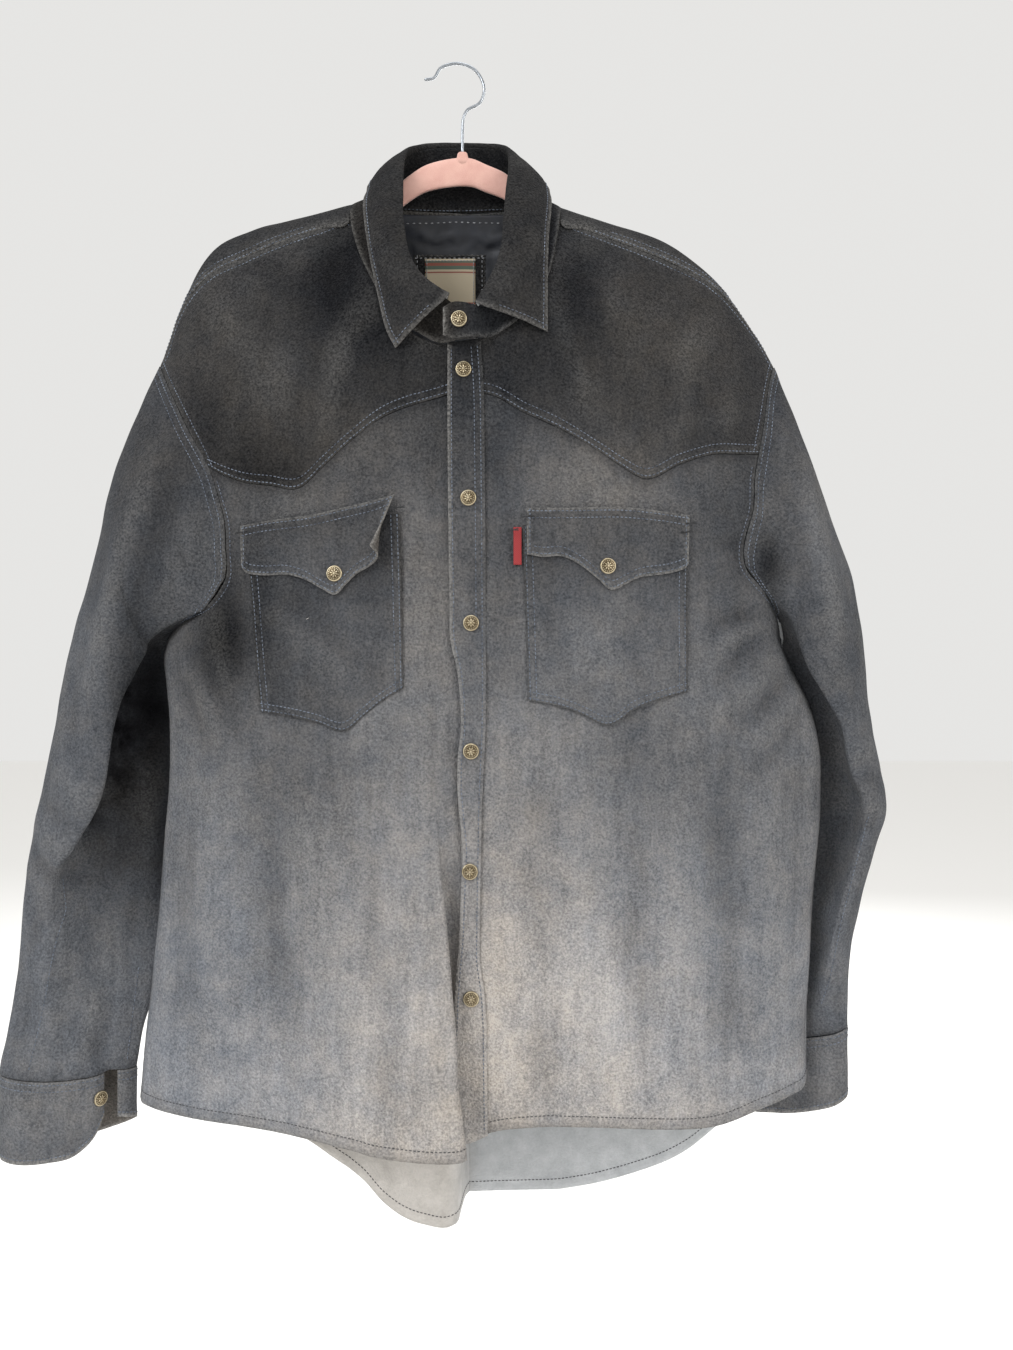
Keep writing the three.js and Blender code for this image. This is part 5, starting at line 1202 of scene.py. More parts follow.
POCKETS = {
    "right": {
        "top": [(-169, 405), (-44, 390)],
        "bottom": [
            (-155, 548), (-126, 552.5), (-107, 557), (-87, 563), (-71, 551), (-57, 539.5), (-40, 529)]},
    "left": {
        "top": [(54, 400), (187, 402)],
        "bottom": [
            (58, 538.5), (85, 544), (102, 550.5), (121.5, 558.5), (142, 546), (157, 540), (185, 532)]},
}
FLAPS = {
    "right": {
        "top": [(-171.5, 399), (-147, 395), (-119, 392), (-90, 386), (-68, 381), (-48, 375.5)],
        "bottom": [
            (-171, 431), (-167, 436), (-154, 438.5), (-133, 438.5), (-119, 442.5), (-104, 451), (-95, 455),
            (-86, 446.5), (-78.5, 439), (-64, 430), (-61, 424), (-66, 417)],
        "curl": 9},
    "left": {
        "top": [(57, 386), (85, 386), (128, 385), (187, 390.5)],
        "bottom": [
            (57, 423), (70, 425), (85, 424.5), (99, 431), (113, 442), (124, 451), (137, 445.5), (146, 441),
            (171, 437), (183, 433), (186, 430)],
        "curl": 0},
}
POCKET_GAP = 0.8
POCKET_LIFT = SUEDE + POCKET_GAP
FLAP_LIFT = 2 * SUEDE + 2 * POCKET_GAP
POCKET_CREASES = {
    "right": [
        (10, 1.2, [(-150, 470), (-110, 500), (-80, 530)]),
        (9, -1.2, [(-130, 455), (-96, 490), (-66, 520)]), (9, -1.0, [(-60, 430), (-70, 480), (-62, 525)])],
    "left": [(12, 1.2, [(80, 460), (110, 500), (130, 540)]), (9, -1.1, [(150, 450), (140, 490), (146, 530)]),
             (9, -1.0, [(75, 440), (78, 490), (86, 530)])],
}
CURL_FROM = 0.72


def patch_columns(shape, shares, lift):
    """A flat patch on the front between its top line and its foot, curled up to the left if asked."""
    top_line, foot, height = shape["top"], shape["bottom"], through(shape["top"])
    columns = []
    for k, (low_x, low_down) in enumerate(foot):
        share = k / (len(foot) - 1)
        high_x = mix(top_line[0][0], top_line[-1][0], share)
        high_down, curl = float(height(high_x)), shape.get("curl", 0) * float(ramp(CURL_FROM, 1, share))
        seats = [on_body("front", mix(high_x, low_x, v), mix(high_down, low_down, v)) for v in shares]
        columns.append([lifted(seat, lift + curl * v) for seat, v in zip(seats, shares)])
    return columns


flap = {}
for side in SIDES:
    pocket = make_cloth(
        f"{side}_pocket", patch_columns(POCKETS[side], [j / 5 for j in range(6)], POCKET_LIFT), "grey_suede",
        -1, creases=POCKET_CREASES[side] + PANEL_CREASES[side], wave=(0.8, 70, own_seed(41, side)), step=3.0,
        seams=(("start", -0.7, 6), ("end", -0.7, 6), ("bottom", -0.7, 6)),
        rubbed=(("start", 0.12, 4), ("end", 0.12, 4), ("bottom", 0.14, 4)),
        # The pocket is painted darker as shade under its flap, and with thin painted shadows along its other
        # edges.
        soiled=(("top", 0.5, 42), ("start", 0.5, 1.3), ("end", 0.5, 1.3), ("bottom", 0.5, 1.3)),
        pale=-0.10 if side == "right" else -0.04, brown=0.22)
    topstitch(pocket, [
        edge_row(pocket, edge, inset) for inset in (2, 7) for edge in ("start", "end", "bottom")])

    flap[side] = make_cloth(
        f"{side}_pocket_flap", patch_columns(FLAPS[side], (0, 0.33, 0.67, 1), FLAP_LIFT), "dark_suede", -1,
        wave=(0.5, 50, own_seed(43, side)), step=2.6,
        seams=(("start", 0.4, 4), ("end", 0.4, 4), ("bottom", 0.5, 4), ("top", 0.5, 5)),
        rubbed=(("start", 0.45, 1.7), ("end", 0.6, 2.0), ("bottom", 0.5, 1.8), ("top", 0.3, 2)),
        soiled=(("top", 0.2, 8),), pale=-0.06, brown=0.28, inside=suede["grey_suede"])
    rows = [edge_row(flap[side], *row) for row in (
        ("top", 2.5), ("top", 8), ("start", 2.5), ("end", 2.5), ("bottom", 2.5), ("bottom", 7.5, 0.05, 0.95))]
    topstitch(flap[side], rows)

bar_thread = sewing_thread("bar_thread", (0.004, 0.004, 0.005, 1), (0.015, 0.015, 0.018, 1))
BAR_TACKS = [(46, 404), (57, 393), (188, 397), (184, 404), (-170, 404), (-44, 386)]
BAR_HALF, BAR_LIFT, BAR_POINTS = 4.5, FLAP_LIFT + 0.9, 12
bars = []
for x, down in BAR_TACKS:
    seat, way = on_body("front", x, down)
    across = np.linspace(-BAR_HALF, BAR_HALF, BAR_POINTS)
    bars += [(seat + way * BAR_LIFT + np.outer(across, lie), np.tile(way, (BAR_POINTS, 1)))
             for lie in ((1, 0, 0), (0.96, 0, 0.28))]
topstitch({**flap["left"], "name": "pocket_bar"}, bars, bar_thread, 1.6)


def woven_tape(name, low, high):
    """Close ribbon weave with a soft twill line."""
    material, tree, shader, place = blank_material(name)
    ribs = node(tree, "ShaderNodeTexWave", {
        "Vector": place, "Scale": 420.0, "Distortion": 0.6}, bands_direction="DIAGONAL").outputs["Fac"]
    set_surface(tree, shader, blend_colours(tree, ribs, low, high), {"Roughness": 0.8}, (ribs, 0.4, 0.0004))
    return material


rust_weave = woven_tape("rust_weave", (0.17, 0.012, 0.014, 1), (0.30, 0.024, 0.026, 1))
TAPE_XS = (46.5, 49.75, 53)
TAPE_TOP, TAPE_LOW, TAPE_CLOTH = 401, 431, 1.0
columns = [
    [lifted(on_body("front", x, mix(TAPE_TOP, TAPE_LOW, v)), TAPE_CLOTH + REST_GAP) for v in (0, 0.5, 1)]
    for x in TAPE_XS]
tape = make_cloth(
    "pocket_tape", columns, "rust_tape", -1, thickness=TAPE_CLOTH, step=1.0, wave=(0.12, 14, 51),
    material=rust_weave, inside=rust_weave)
flap["left"]["sewn"].append(tape["piece"])

# Sleeves
# One cut piece each, closed by one seam under the arm, hanging flat beside the body. The front
# of each sleeve folds over its rear half, which is painted darker as shade in the tuck. Rings
# run from the armhole down to the wrist.

SLEEVE_RINGS = {
    "right": [
        ((-290, -2, 345), (-255, -24, 487), (-241, 14, 502), 16, 26, 14),
        ((-303, -2, 400), (-257, -30, 502), (-234, 22, 540), 24, 24, 16),
        ((-318, 0, 455), (-270, -34, 530), (-228, 28, 580), 32, 20, 14),
        ((-332, 0, 515), (-281, -34, 566), (-225, 31, 625), 36, 16, 12),
        ((-346, 0, 583), (-290, -32, 612), (-228, 31, 668), 36, 14, 11),
        ((-358, 0, 637), (-310, -26, 650), (-238, 29, 706), 28, 12, 10),
        ((-366, 0, 684), (-338, -16, 690), (-250, 24, 738), 8, 8, 10),
        ((-371, 0, 742), (-340, -16, 750), (-262, 18, 774), 0, 5, 9),
        ((-379, 0, 800), (-346, -16, 806), (-269, 12, 814), 0, 5, 8)],
    "left": [
        ((290, -2, 313), (278, -22, 470), (277, 14, 494), 14, 26, 14),
        ((312, -2, 375), (283, -28, 490), (273, 20, 517), 20, 24, 16),
        ((333, 0, 432), (289, -32, 512), (261, 26, 560), 26, 20, 14),
        ((343, 0, 490), (301, -32, 534), (248, 31, 608), 24, 16, 13),
        ((349, 0, 548), (319, -26, 563), (241, 34, 650), 18, 12, 12),
        ((357, 0, 593), (328, -20, 598), (236, 35, 686), 16, 10, 11),
        ((363, 0, 625), (340, -17, 628), (233, 35, 710), 10, 8, 10),
        ((354, 0, 662), (332, -16, 667), (232, 34, 735), 10, 8, 10),
        ((343, 0, 706), (320, -15, 711), (232, 33, 758), 10, 8, 10),
        ((332, 0, 757), (308, -14, 765), (233, 32, 787), 10, 7, 9)],
}
FOLD_RADIUS = 2.4
WRISTS = {
    "right": [
        (-389, 0, 854, 924), (-384, -10, 855, 926), (-368, -18, 856, 927), (-343, -20, 857, 925),
        (-318, -17, 856, 919), (-304, -12, 855, 905), (-299, -5, 854, 890), (-289, -2, 853, 893),
        (-280, 0, 853, 894), (-275, 6, 852, 896), (-295, 13, 852, 906), (-325, 16, 853, 916),
        (-360, 14, 854, 922), (-382, 9, 854, 924)],
    "left": [
        (331, 1, 815, 873), (328, -5, 817, 876), (318, -7, 821, 882), (302, 0, 826, 889),
        (290, 6, 829, 893), (280, 10, 830, 895), (270, 14, 831, 896), (258, 18, 832, 897),
        (247, 22, 832, 896), (236, 30, 832, 891), (250, 37, 831, 893), (280, 32, 827, 890),
        (312, 20, 819, 880), (326, 9, 815, 874)],
}
KEY_STEPS = [3, 3, 3, 1, 2, 1, 2, 1, 1, 2, 2, 1, 1]
WRIST_STEPS = [3, 3, 3, 1, 1, 1, 1, 1, 1, 2, 2, 2, 1, 1]


def sleeve_keys(outer, lobe, inner, tuck, swell, back):
    o, l, i = (spot(x, y, -down) for x, y, down in (outer, lobe, inner))
    across = unit((l - o) * (1, 0, 1))
    valley = mix(l[1], i[1], 0.45)

    def at_depth(p, y):
        return spot(p[0], y, p[2])

    def swung(p, y):
        return p + spot(0, y, 0)

    return [
        swung(o, -FOLD_RADIUS), swung(mix(o, l, 0.3), -swell), swung(mix(o, l, 0.75), -0.7 * swell), l,
        at_depth(l + across * (10 - 0.75 * tuck), mix(l[1], valley, 0.5)),
        at_depth(l + across * (20 - 1.25 * tuck), valley),
        at_depth(mix(l, i, 0.6), mix(valley, i[1], 0.7)),
        swung(i, -FOLD_RADIUS), swung(i, FOLD_RADIUS),
        swung(mix(i, o, 0.25), back), swung(mix(i, o, 0.6), back),
        swung(mix(i, o, 0.9), 0.6 * back), swung(o, FOLD_RADIUS)]


def sampled_ring(keys, key_steps):
    return [
        spline_point(keys, (k + s / steps) / len(keys), closed=True)
        for k, steps in enumerate(key_steps) for s in range(steps)]


def wrist_ring(side, drop):
    return sampled_ring([(x, y, -mix(top, low, drop)) for x, y, top, low in WRISTS[side]], WRIST_STEPS)


def armhole_ring(side):
    upper, lower = armhole_downs(side)
    armpit = ARMPIT[side][1]
    front = [armhole_point("front", side, down)[0] for down in upper + lower]
    pit = armhole_point("front", side, armpit)[0]
    tucked = [mix(front[-1], pit, k / 6) for k in (1, 2, 3, 4, 5)]
    back_downs = [mix(BACK_YOKE_END, armpit, v) for v in (0.84, 0.62, 0.33, 0)]
    tip = float(ridge_down(SHOULDER_TIP[side]))
    over_yoke = [mix(tip, BACK_YOKE_END, v) for v in (0.46, 0.12)]
    back_all = [mix(back_downs[0], armpit, 0.5)] + back_downs + over_yoke
    return front + tucked + [pit] + [armhole_point("back", side, down)[0] for down in back_all]


SLEEVE_CREASES = {
    "right": [
        (11, -2.2, [(-222, 330), (-250, 420), (-268, 500)]),
        (13, 2.0, [(-245, 330), (-280, 430), (-300, 520)]),
        (10, -1.8, [(-268, 350), (-305, 460), (-322, 560)]),
        (9, 1.4, [(-285, 360), (-318, 470), (-336, 580)]),
        (8, -2.2, [(-352, 618), (-325, 640), (-296, 650)]), (8, 1.8, [(-340, 590), (-314, 612), (-292, 622)]),
        (7, -1.8, [(-362, 660), (-345, 682), (-318, 700)]), (8, 1.5, [(-358, 640), (-336, 664), (-312, 676)]),
        (7, -1.6, [(-344, 720), (-356, 740), (-370, 746)]), (9, 1.2, [(-340, 735), (-354, 770), (-372, 780)]),
        (5, -2.0, [(-299, 778), (-303, 815), (-306, 856)]), (7, 1.6, [(-309, 775), (-314, 815), (-316, 856)]),
        (8, -1.4, [(-280, 700), (-284, 760), (-284, 820)]),
        (12, 1.4, [(-262, 560), (-268, 640), (-276, 700)]),
        (9, -1.5, [(-252, 600), (-256, 680), (-262, 760)]),
        (10, 1.2, [(-330, 700), (-334, 770), (-338, 840)]),
        (8, -1.2, [(-362, 780), (-368, 820), (-372, 850)])],
    "left": [
        (11, -2.2, [(262, 330), (284, 410), (292, 480)]), (13, 2.0, [(276, 330), (304, 420), (318, 500)]),
        (10, -1.8, [(292, 350), (322, 450), (334, 540)]), (9, 1.4, [(300, 350), (334, 460), (344, 560)]),
        (7, -2.2, [(362, 612), (346, 604), (328, 606)]), (7, 1.8, [(354, 580), (340, 580), (324, 586)]),
        (7, -1.8, [(352, 650), (340, 640), (326, 650)]), (7, 1.5, [(362, 634), (346, 630), (330, 636)]),
        (8, -1.4, [(346, 690), (332, 720), (318, 760)]), (8, 1.3, [(336, 680), (322, 710), (310, 750)]),
        (12, 1.5, [(280, 600), (272, 680), (262, 760)]), (9, -1.6, [(296, 620), (288, 700), (278, 780)]),
        (9, -1.5, [(258, 640), (254, 720), (250, 790)]), (8, -1.1, [(322, 770), (318, 795), (316, 812)])],
}
SLEEVE_SEAMS = {
    "right": [[(-334, 690), (-331, 716), (-334, 732), (-340, 762), (-349, 812), (-357, 848)],
              [(-276, 770), (-280, 810), (-282, 846)]],
    "left": [[(343, 636), (331, 682), (320, 725), (312, 771), (306, 796)]],
}
DEEPEST_TUCK = 36
TUCK_SHADE = 0.8
for side in SIDES:
    rings = [sampled_ring(sleeve_keys(*ring), KEY_STEPS) for ring in SLEEVE_RINGS[side]]
    rings.append(wrist_ring(side, 0))
    steps = 2 * len(rings) - 4
    tucks = [0.5] + [tuck / DEEPEST_TUCK for _, _, _, tuck, _, _ in SLEEVE_RINGS[side]] + [0]
    columns = []
    for k, start in enumerate(armhole_ring(side)):
        line = [start] + [ring[k] for ring in rings]
        # Painted shade in the tuck under each sleeve's front fold, deepest in the middle of the tuck and
        # where the tuck is deepest, carried as the grid's fourth value.
        depth = np.interp(k, [9, 10.5, 12, 13, 15, 17], [0, 0.75, 1, 0.9, 0.45, 0])
        shades = np.interp(np.arange(steps + 1) * len(rings) / steps, np.arange(len(tucks)), tucks)
        columns.append([
            np.append(spline_point(line, s / steps), TUCK_SHADE * depth * shades[s])
            for s in range(steps + 1)])
    sleeve = make_cloth(
        f"{side}_sleeve", pulled_in(columns, ("top",)), "grey_suede", FACING[side], closed=True,
        step=3.8, creases=SLEEVE_CREASES[side], back_creases=SLEEVE_CREASES[side],
        wave=(1.0, 100, own_seed(61, side)), seams=(("top", 0.7, 8), ("bottom", -0.4, 7)),
        rubbed=(("top", 0.10, 3),), soiled=(("top", 0.15, 8), ("bottom", 0.25, 8)),
        fade_and_shading=(sleeve_fade_and_painted_light, SLEEVE_FADE_AND_SHADE), brown=0.12)
    rows = [edge_row(sleeve, "top", 4), edge_row(sleeve, "top", 10, 0.0, 0.36)]
    rows += [line_row(sleeve, line) for line in SLEEVE_SEAMS[side]]
    topstitch(sleeve, [row for row in rows if len(row[0]) > 2])

# Cuffs
# A doubled band round the wrist, sewn on under the sleeve's end with two rows. The right one
# stands open beside its snap, and the lower edges have frayed pale.

CUFF_SEAM = 0.8
OPENING_POINT = 12
CUFF_SEED = {"right": 72, "left": 71}
for side in SIDES:
    rows = [wrist_ring(side, v) for v in (0, 0.35, 0.7, 1)]
    ring = [
        [point - spot(0, 0, CUFF_SEAM if j == 0 else 0) for j, point in enumerate(line)]
        for line in zip(*rows)]
    whole = side == "left"
    columns = ring if whole else ring[OPENING_POINT + 1:] + ring[:OPENING_POINT + 1]
    ends = () if whole else (("start", 0.35, 2), ("end", 0.35, 2))
    cuff = make_cloth(
        f"{side}_cuff", columns, "grey_suede", 1 if whole else -1, closed=whole, step=2.8,
        wave=(0.5, 60, CUFF_SEED[side]), seams=(("top", 0.6, 5), ("bottom", 0.4, 4)),
        creases=[(6, -0.9, [(-345, 870), (-350, 900)]), (6, 0.8, [(-365, 865), (-370, 905)]),
                 (6, -0.8, [(300, 840), (296, 880)]), (6, 0.8, [(276, 845), (272, 885)])],
        rubbed=(("bottom", 0.8, 2.2), ("top", 0.2, 2)) + ends, soiled=(("bottom", 0.2, 18),),
        fade_and_shading=(sleeve_fade_and_painted_light, SLEEVE_FADE_AND_SHADE), brown=0.28, inside=suede["grey_suede"])
    topstitch(cuff, [edge_row(cuff, "top", 2.5), edge_row(cuff, "top", 8), edge_row(cuff, "bottom", 4)])

# Collar
# A stand sewn up from the neck seam, and a leaf that rolls over it and falls in two points.
# Each station is one section, from the right front end round the neck to the left front end.

COLLAR_CLOTH = 1.5
LEAF_LIFT = COLLAR_CLOTH + 0.9
LEAF_OVER_STAND = LEAF_LIFT + COLLAR_CLOTH + 2


def at_front(x, down, lift=0.0):
    return lifted(on_body("front", x, down), lift)


def at_ridge(x, over):
    return over_ridge(x, over)[0]


STATIONS = [
    (at_front(-12, 249), spot(-4, -67, -217), at_front(-48, 257, LEAF_LIFT), 0),
    (at_front(-28, 241), spot(-15.5, -66, -210), at_front(-55, 243, LEAF_LIFT), 0),
    (at_front(-45, 230), spot(-27, -62, -199), at_front(-62, 216, LEAF_LIFT + 1), 0),
    (at_front(-59, 211), spot(-36.5, -56, -181), at_front(-69, 184, LEAF_OVER_STAND - 1), 0),
    (at_front(-69, 192), spot(-41, -48, -156), at_front(-74, 155, LEAF_OVER_STAND), 0),
    (at_front(-80, 168), spot(-43.5, -34, -127), at_front(-77, 131, LEAF_OVER_STAND), 0),
    (at_front(-88, 142), spot(-44.6, -20, -98), spot(-77, -10, -113), 5),
    (at_ridge(-87, 0), spot(-43, -2, -74), spot(-74, 6, -101), 8),
    (at_ridge(-82, 4), spot(-40.3, 5, -67), spot(-67, 16, -105), 6),
    (at_ridge(-74, 9), spot(-36, 12, -62), spot(-58, 24, -109), 4),
    (at_ridge(-58, 14), spot(-30.5, 16.6, -59), spot(-48, 28.5, -115), 1),
    (at_ridge(-38, 18), spot(-22, 20, -57), spot(-34, 31, -118), 0),
    (at_ridge(0, 22), spot(0, 23, -55), spot(0, 33, -119), 0),
    (at_ridge(38, 18), spot(24, 20, -57), spot(36, 31, -119), 0),
    (at_ridge(57, 14), spot(31.8, 16.6, -59), spot(50, 28.5, -117), 1),
    (at_ridge(72, 9), spot(37, 12, -62), spot(60, 24, -111), 4),
    (at_ridge(76, 7), spot(39, 8.8, -64.3), spot(64.5, 20.5, -109), 5),
    (at_ridge(80, 4), spot(40.5, 5.5, -67.5), spot(68, 16, -107), 6),
    (at_ridge(84, 0), spot(42, -1, -75), spot(74, 6, -103), 8),
    (at_front(85, 142), spot(42.5, -20, -98), spot(78, -10, -115), 5),
    (at_front(81, 164), spot(40, -32, -124), at_front(77, 133, LEAF_OVER_STAND), 0),
    (at_front(75, 190), spot(38, -45, -150), at_front(75, 158, LEAF_OVER_STAND), 0),
    (at_front(66, 209), spot(36.5, -54, -176), at_front(74, 186, LEAF_OVER_STAND - 1), 0),
    (at_front(54, 225), spot(31, -60, -195), at_front(74, 214, LEAF_LIFT), 0),
    (at_front(41, 236), spot(24, -65, -210), at_front(74, 229, LEAF_LIFT), 0),
    (at_front(28, 244), spot(16, -68, -224), at_front(74, 243, LEAF_LIFT), 0),
]
NECK_CENTRE = spot(4, -28, -95)
STAND_INSET = COLLAR_CLOTH + 1.8
ROLL_RADIUS = 3.2
LEAF_BULGE = 4
STAND_SHARES = [0, 0.11, 0.22, 0.32]
LEAF_SHARES = [0.32, 0.4, 0.45, 0.5, 0.55, 0.6, 0.68, 0.78, 0.89, 1]
LEAF_START = len(STAND_SHARES) - 1
# The collar is darker up round the back of the neck and paler towards its points, partly dye and partly
# painted shade at the top.
COLLAR_DYE_AND_SHADE = (through([(50, 0.022), (150, 0.032), (210, 0.045), (260, 0.062)]), ())


def collar_section(base, roll, edge, sag, along):
    foot = base + unit(NECK_CENTRE - base) * STAND_INSET
    away = unit((roll - NECK_CENTRE) * (1, 1, 0))
    crest = unit(unit(roll - foot) + unit(roll - edge))
    across = unit(np.cross(along, crest))
    across = across * np.sign(across @ away)
    stand_top, leaf_top = (roll + across * way * ROLL_RADIUS - crest * 1.3 * ROLL_RADIUS for way in (-1, 1))
    leaf_out = away if roll[1] > 0 else unit(mix(spot(0, -1, 0), away, 0.5))
    return [foot, mix(foot, stand_top, 0.5) - spot(0, 0, sag), stand_top, roll, leaf_top,
            mix(leaf_top, edge, 0.5) + leaf_out * LEAF_BULGE, edge]


collar_columns = []
for k, (base, roll, edge, sag) in enumerate(STATIONS):
    along = STATIONS[min(k + 1, len(STATIONS) - 1)][1] - STATIONS[max(k - 1, 0)][1]
    section = collar_section(base, roll, edge, sag, along)
    collar_columns.append([spline_point(section, share) for share in STAND_SHARES[:-1] + LEAF_SHARES])
leaf = make_cloth(
    "collar_leaf", pulled_in([column[LEAF_START:] for column in collar_columns], ("top",)), "dark_suede", 1,
    thickness=COLLAR_CLOTH, step=2.4, wave=(0.5, 50, 81),
    creases=[(9, -0.9, [(-60, 200), (-40, 240)]), (9, 0.8, [(-70, 150), (-50, 200)]),
             (9, -0.9, [(60, 190), (50, 235)]), (8, 0.8, [(70, 150), (55, 210)])],
    seams=(("bottom", 0.5, 4), ("start", 0.5, 4), ("end", 0.5, 4)),
    rubbed=(("bottom", 0.4, 2.4), ("start", 0.35, 2.2), ("end", 0.35, 2.2)), fade_and_shading=COLLAR_DYE_AND_SHADE, brown=0.50)
topstitch(leaf, [edge_row(leaf, "bottom", 4.5)] + [
    edge_row(leaf, edge, 4.5, 0.45, 1) for edge in ("start", "end")])

# The stand's two ends lap over each other at the front, and its foot laps over the yokes' neck
STAND_LAP = 4.5


def stand_lap(x, y, top, low):
    return [spot(x, y - 0.5 * j, -mix(low, top, j / LEAF_START)) for j in range(LEAF_START + 1)]


stand_columns = [stand_lap(18, -58, 227, 246), stand_lap(4, -60, 227, 247)]
stand_columns += [column[:LEAF_START + 1] for column in collar_columns]
stand_columns += [
    stand_lap(14, -66.5, 226, 247), stand_lap(-2, -67.5, 225, 249), stand_lap(-9, -67, 229, 246)]
ROUND_BACK = range(7, 19)
FRONT_OF_NECK = -160
feet = [column[0] for column in stand_columns[:2]]
feet += [base if k in ROUND_BACK else base + spot(0, -3.4, 0) for k, (base, _, _, _) in enumerate(STATIONS)]
feet += [column[0] + spot(0, -1, 0) for column in stand_columns[-3:]]
stand_columns = [
    [foot - spot(0, 0, STAND_LAP if foot[2] < FRONT_OF_NECK else 0.5)] + column
    for foot, column in zip(feet, stand_columns)]
stand = make_cloth(
    "collar_stand", pulled_in(stand_columns, ("bottom",)), "dark_suede", 1, thickness=COLLAR_CLOTH, step=2.4,
    wave=(0.3, 50, 83), rubbed=(("end", 0.6, 2.0), ("top", 0.2, 3)), fade_and_shading=COLLAR_DYE_AND_SHADE, pale=-0.015, brown=0.40,
    inside=suede["dark_suede"])
topstitch(stand, [edge_row(stand, "end", 3), edge_row(stand, "top", 2.5)])

# Lining, patch and label
# Satin lines the back yoke, and a black patch with pinked edges carries the neck label. The
# label is left plain, with woven bands only.

LINING_CLOTH = 1
LINING_DEPTH = SUEDE + 0.8
PATCH_DEPTH = LINING_DEPTH + LINING_CLOTH + 0.4
LABEL_DEPTH = PATCH_DEPTH + LINING_CLOTH + 0.3


def satin(name, low, high):
    """Smooth dark satin with a soft long sheen."""
    material, tree, shader, place = blank_material(name)
    long_way = node(tree, "ShaderNodeMapping", {"Vector": place, "Scale": (900, 900, 60)}).outputs["Vector"]
    threads = speckle(tree, long_way, 1.0, 3, 0.6, 0.2, 0.8)
    clouds = speckle(tree, place, 60, 3, 0.6, 0.3, 0.7)
    set_surface(
        tree, shader, blend_colours(tree, clouds, low, high), {"Roughness": 0.45, "Sheen Weight": 0.06},
        (threads, 0.2, 0.0003))
    return material


def inside_sheet(left, right, top, low, depth, columns, rows):
    grid = []
    for i in range(columns + 1):
        x = mix(left, right, i / columns)
        line = [on_body("back", x, mix(top, low, j / rows)) for j in range(rows + 1)]
        grid.append([seat - way * (depth + LINING_CLOTH) for seat, way in line])
    return grid


navy = satin("navy_satin_cloth", (0.003, 0.0042, 0.008, 1), (0.010, 0.013, 0.022, 1))
lining = make_cloth(
    "yoke_lining", inside_sheet(-62, 64, 120.5, 262, LINING_DEPTH, 14, 12), "navy_satin", -1,
    thickness=LINING_CLOTH, step=2.0, wave=(0.6, 24, 91), material=navy, inside=navy, outer_lift=1.0,
    creases=[(3, 0.9, [(-40, 132), (-20, 140), (0, 136)]), (3, -0.8, [(-46, 140), (-22, 148), (4, 144)]),
             (3, 0.9, [(8, 134), (26, 142), (44, 138)]), (3, -0.8, [(4, 142), (22, 150), (46, 147)]),
             (4, 0.8, [(34, 150), (38, 175), (36, 200)]), (4, -0.8, [(44, 150), (46, 180), (44, 205)]),
             (4, 0.8, [(-50, 152), (-48, 180), (-50, 200)])])
pale_thread = sewing_thread("pale_thread", (0.25, 0.26, 0.28, 1), (0.45, 0.46, 0.48, 1))
topstitch(lining, [line_row(lining, [(-52, 129), (0, 127), (52, 129)])], pale_thread, 5)

PINKING = 1.1
patch = make_cloth(
    "label_patch", inside_sheet(-40, 23, 152, 206, PATCH_DEPTH, 4, 3), "black_patch", -1,
    thickness=LINING_CLOTH, step=2.0, wave=(0.2, 30, 93), outer_lift=1.6,
    material=worn_suede("black_patch_suede"), fade_and_shading=COLLAR_DYE_AND_SHADE, pale=-0.05, brown=0.2,
    rubbed=[(edge, 0.3, 1.0) for edge in ("start", "end", "top", "bottom")])
tooth = patch["piece"].data
across, tall = patch["points"].shape[:2]
for k, vertex in enumerate(tooth.vertices):
    i, j = divmod(k % (across * tall), tall)
    if i % 2 and j in (0, tall - 1):
        vertex.co.z += PINKING * MM * (-1 if j == 0 else 1)
    if j % 2 and i in (0, across - 1):
        vertex.co.x += PINKING * MM * (1 if i == 0 else -1)
topstitch(patch, [edge_row(patch, edge, 3.2) for edge in ("top", "start", "end")], pale_thread, 4)


def banded_label(name, top, low):
    """Cream ribbon with plain woven bands of colour under its top edge and above its foot."""
    material, tree, shader, place = blank_material(name)
    height = node(tree, "ShaderNodeSeparateXYZ", {"Vector": place}).outputs["Z"]
    share = node(tree, "ShaderNodeMapRange", {
        "Value": height, "From Min": -low * MM, "From Max": -top * MM}).outputs["Result"]
    bands = node(tree, "ShaderNodeValToRGB", {"Fac": share})
    bands.color_ramp.interpolation = "CONSTANT"
    cream, red, green = (0.62, 0.53, 0.38, 1), (0.30, 0.07, 0.05, 1), (0.07, 0.13, 0.10, 1)
    stops = [(0.0, cream), (0.10, red), (0.13, cream), (0.70, red), (0.73, cream), (0.77, green),
             (0.84, red), (0.90, green), (0.93, cream)]
    marks = bands.color_ramp.elements
    marks[0].color = cream
    marks[1].position, marks[1].color = stops[1]
    for position, colour in stops[2:]:
        marks.new(position).color = colour
    weave = node(tree, "ShaderNodeTexWave", {
        "Vector": place, "Scale": 500.0, "Distortion": 1.0}, bands_direction="DIAGONAL").outputs["Fac"]
    shade = sums(tree, "MULTIPLY", weave, 0.35)
    set_surface(
        tree, shader, blend_colours(tree, shade, bands.outputs["Color"], (0.25, 0.20, 0.14, 1)),
        {"Roughness": 0.75}, (weave, 0.3, 0.0003))
    return material


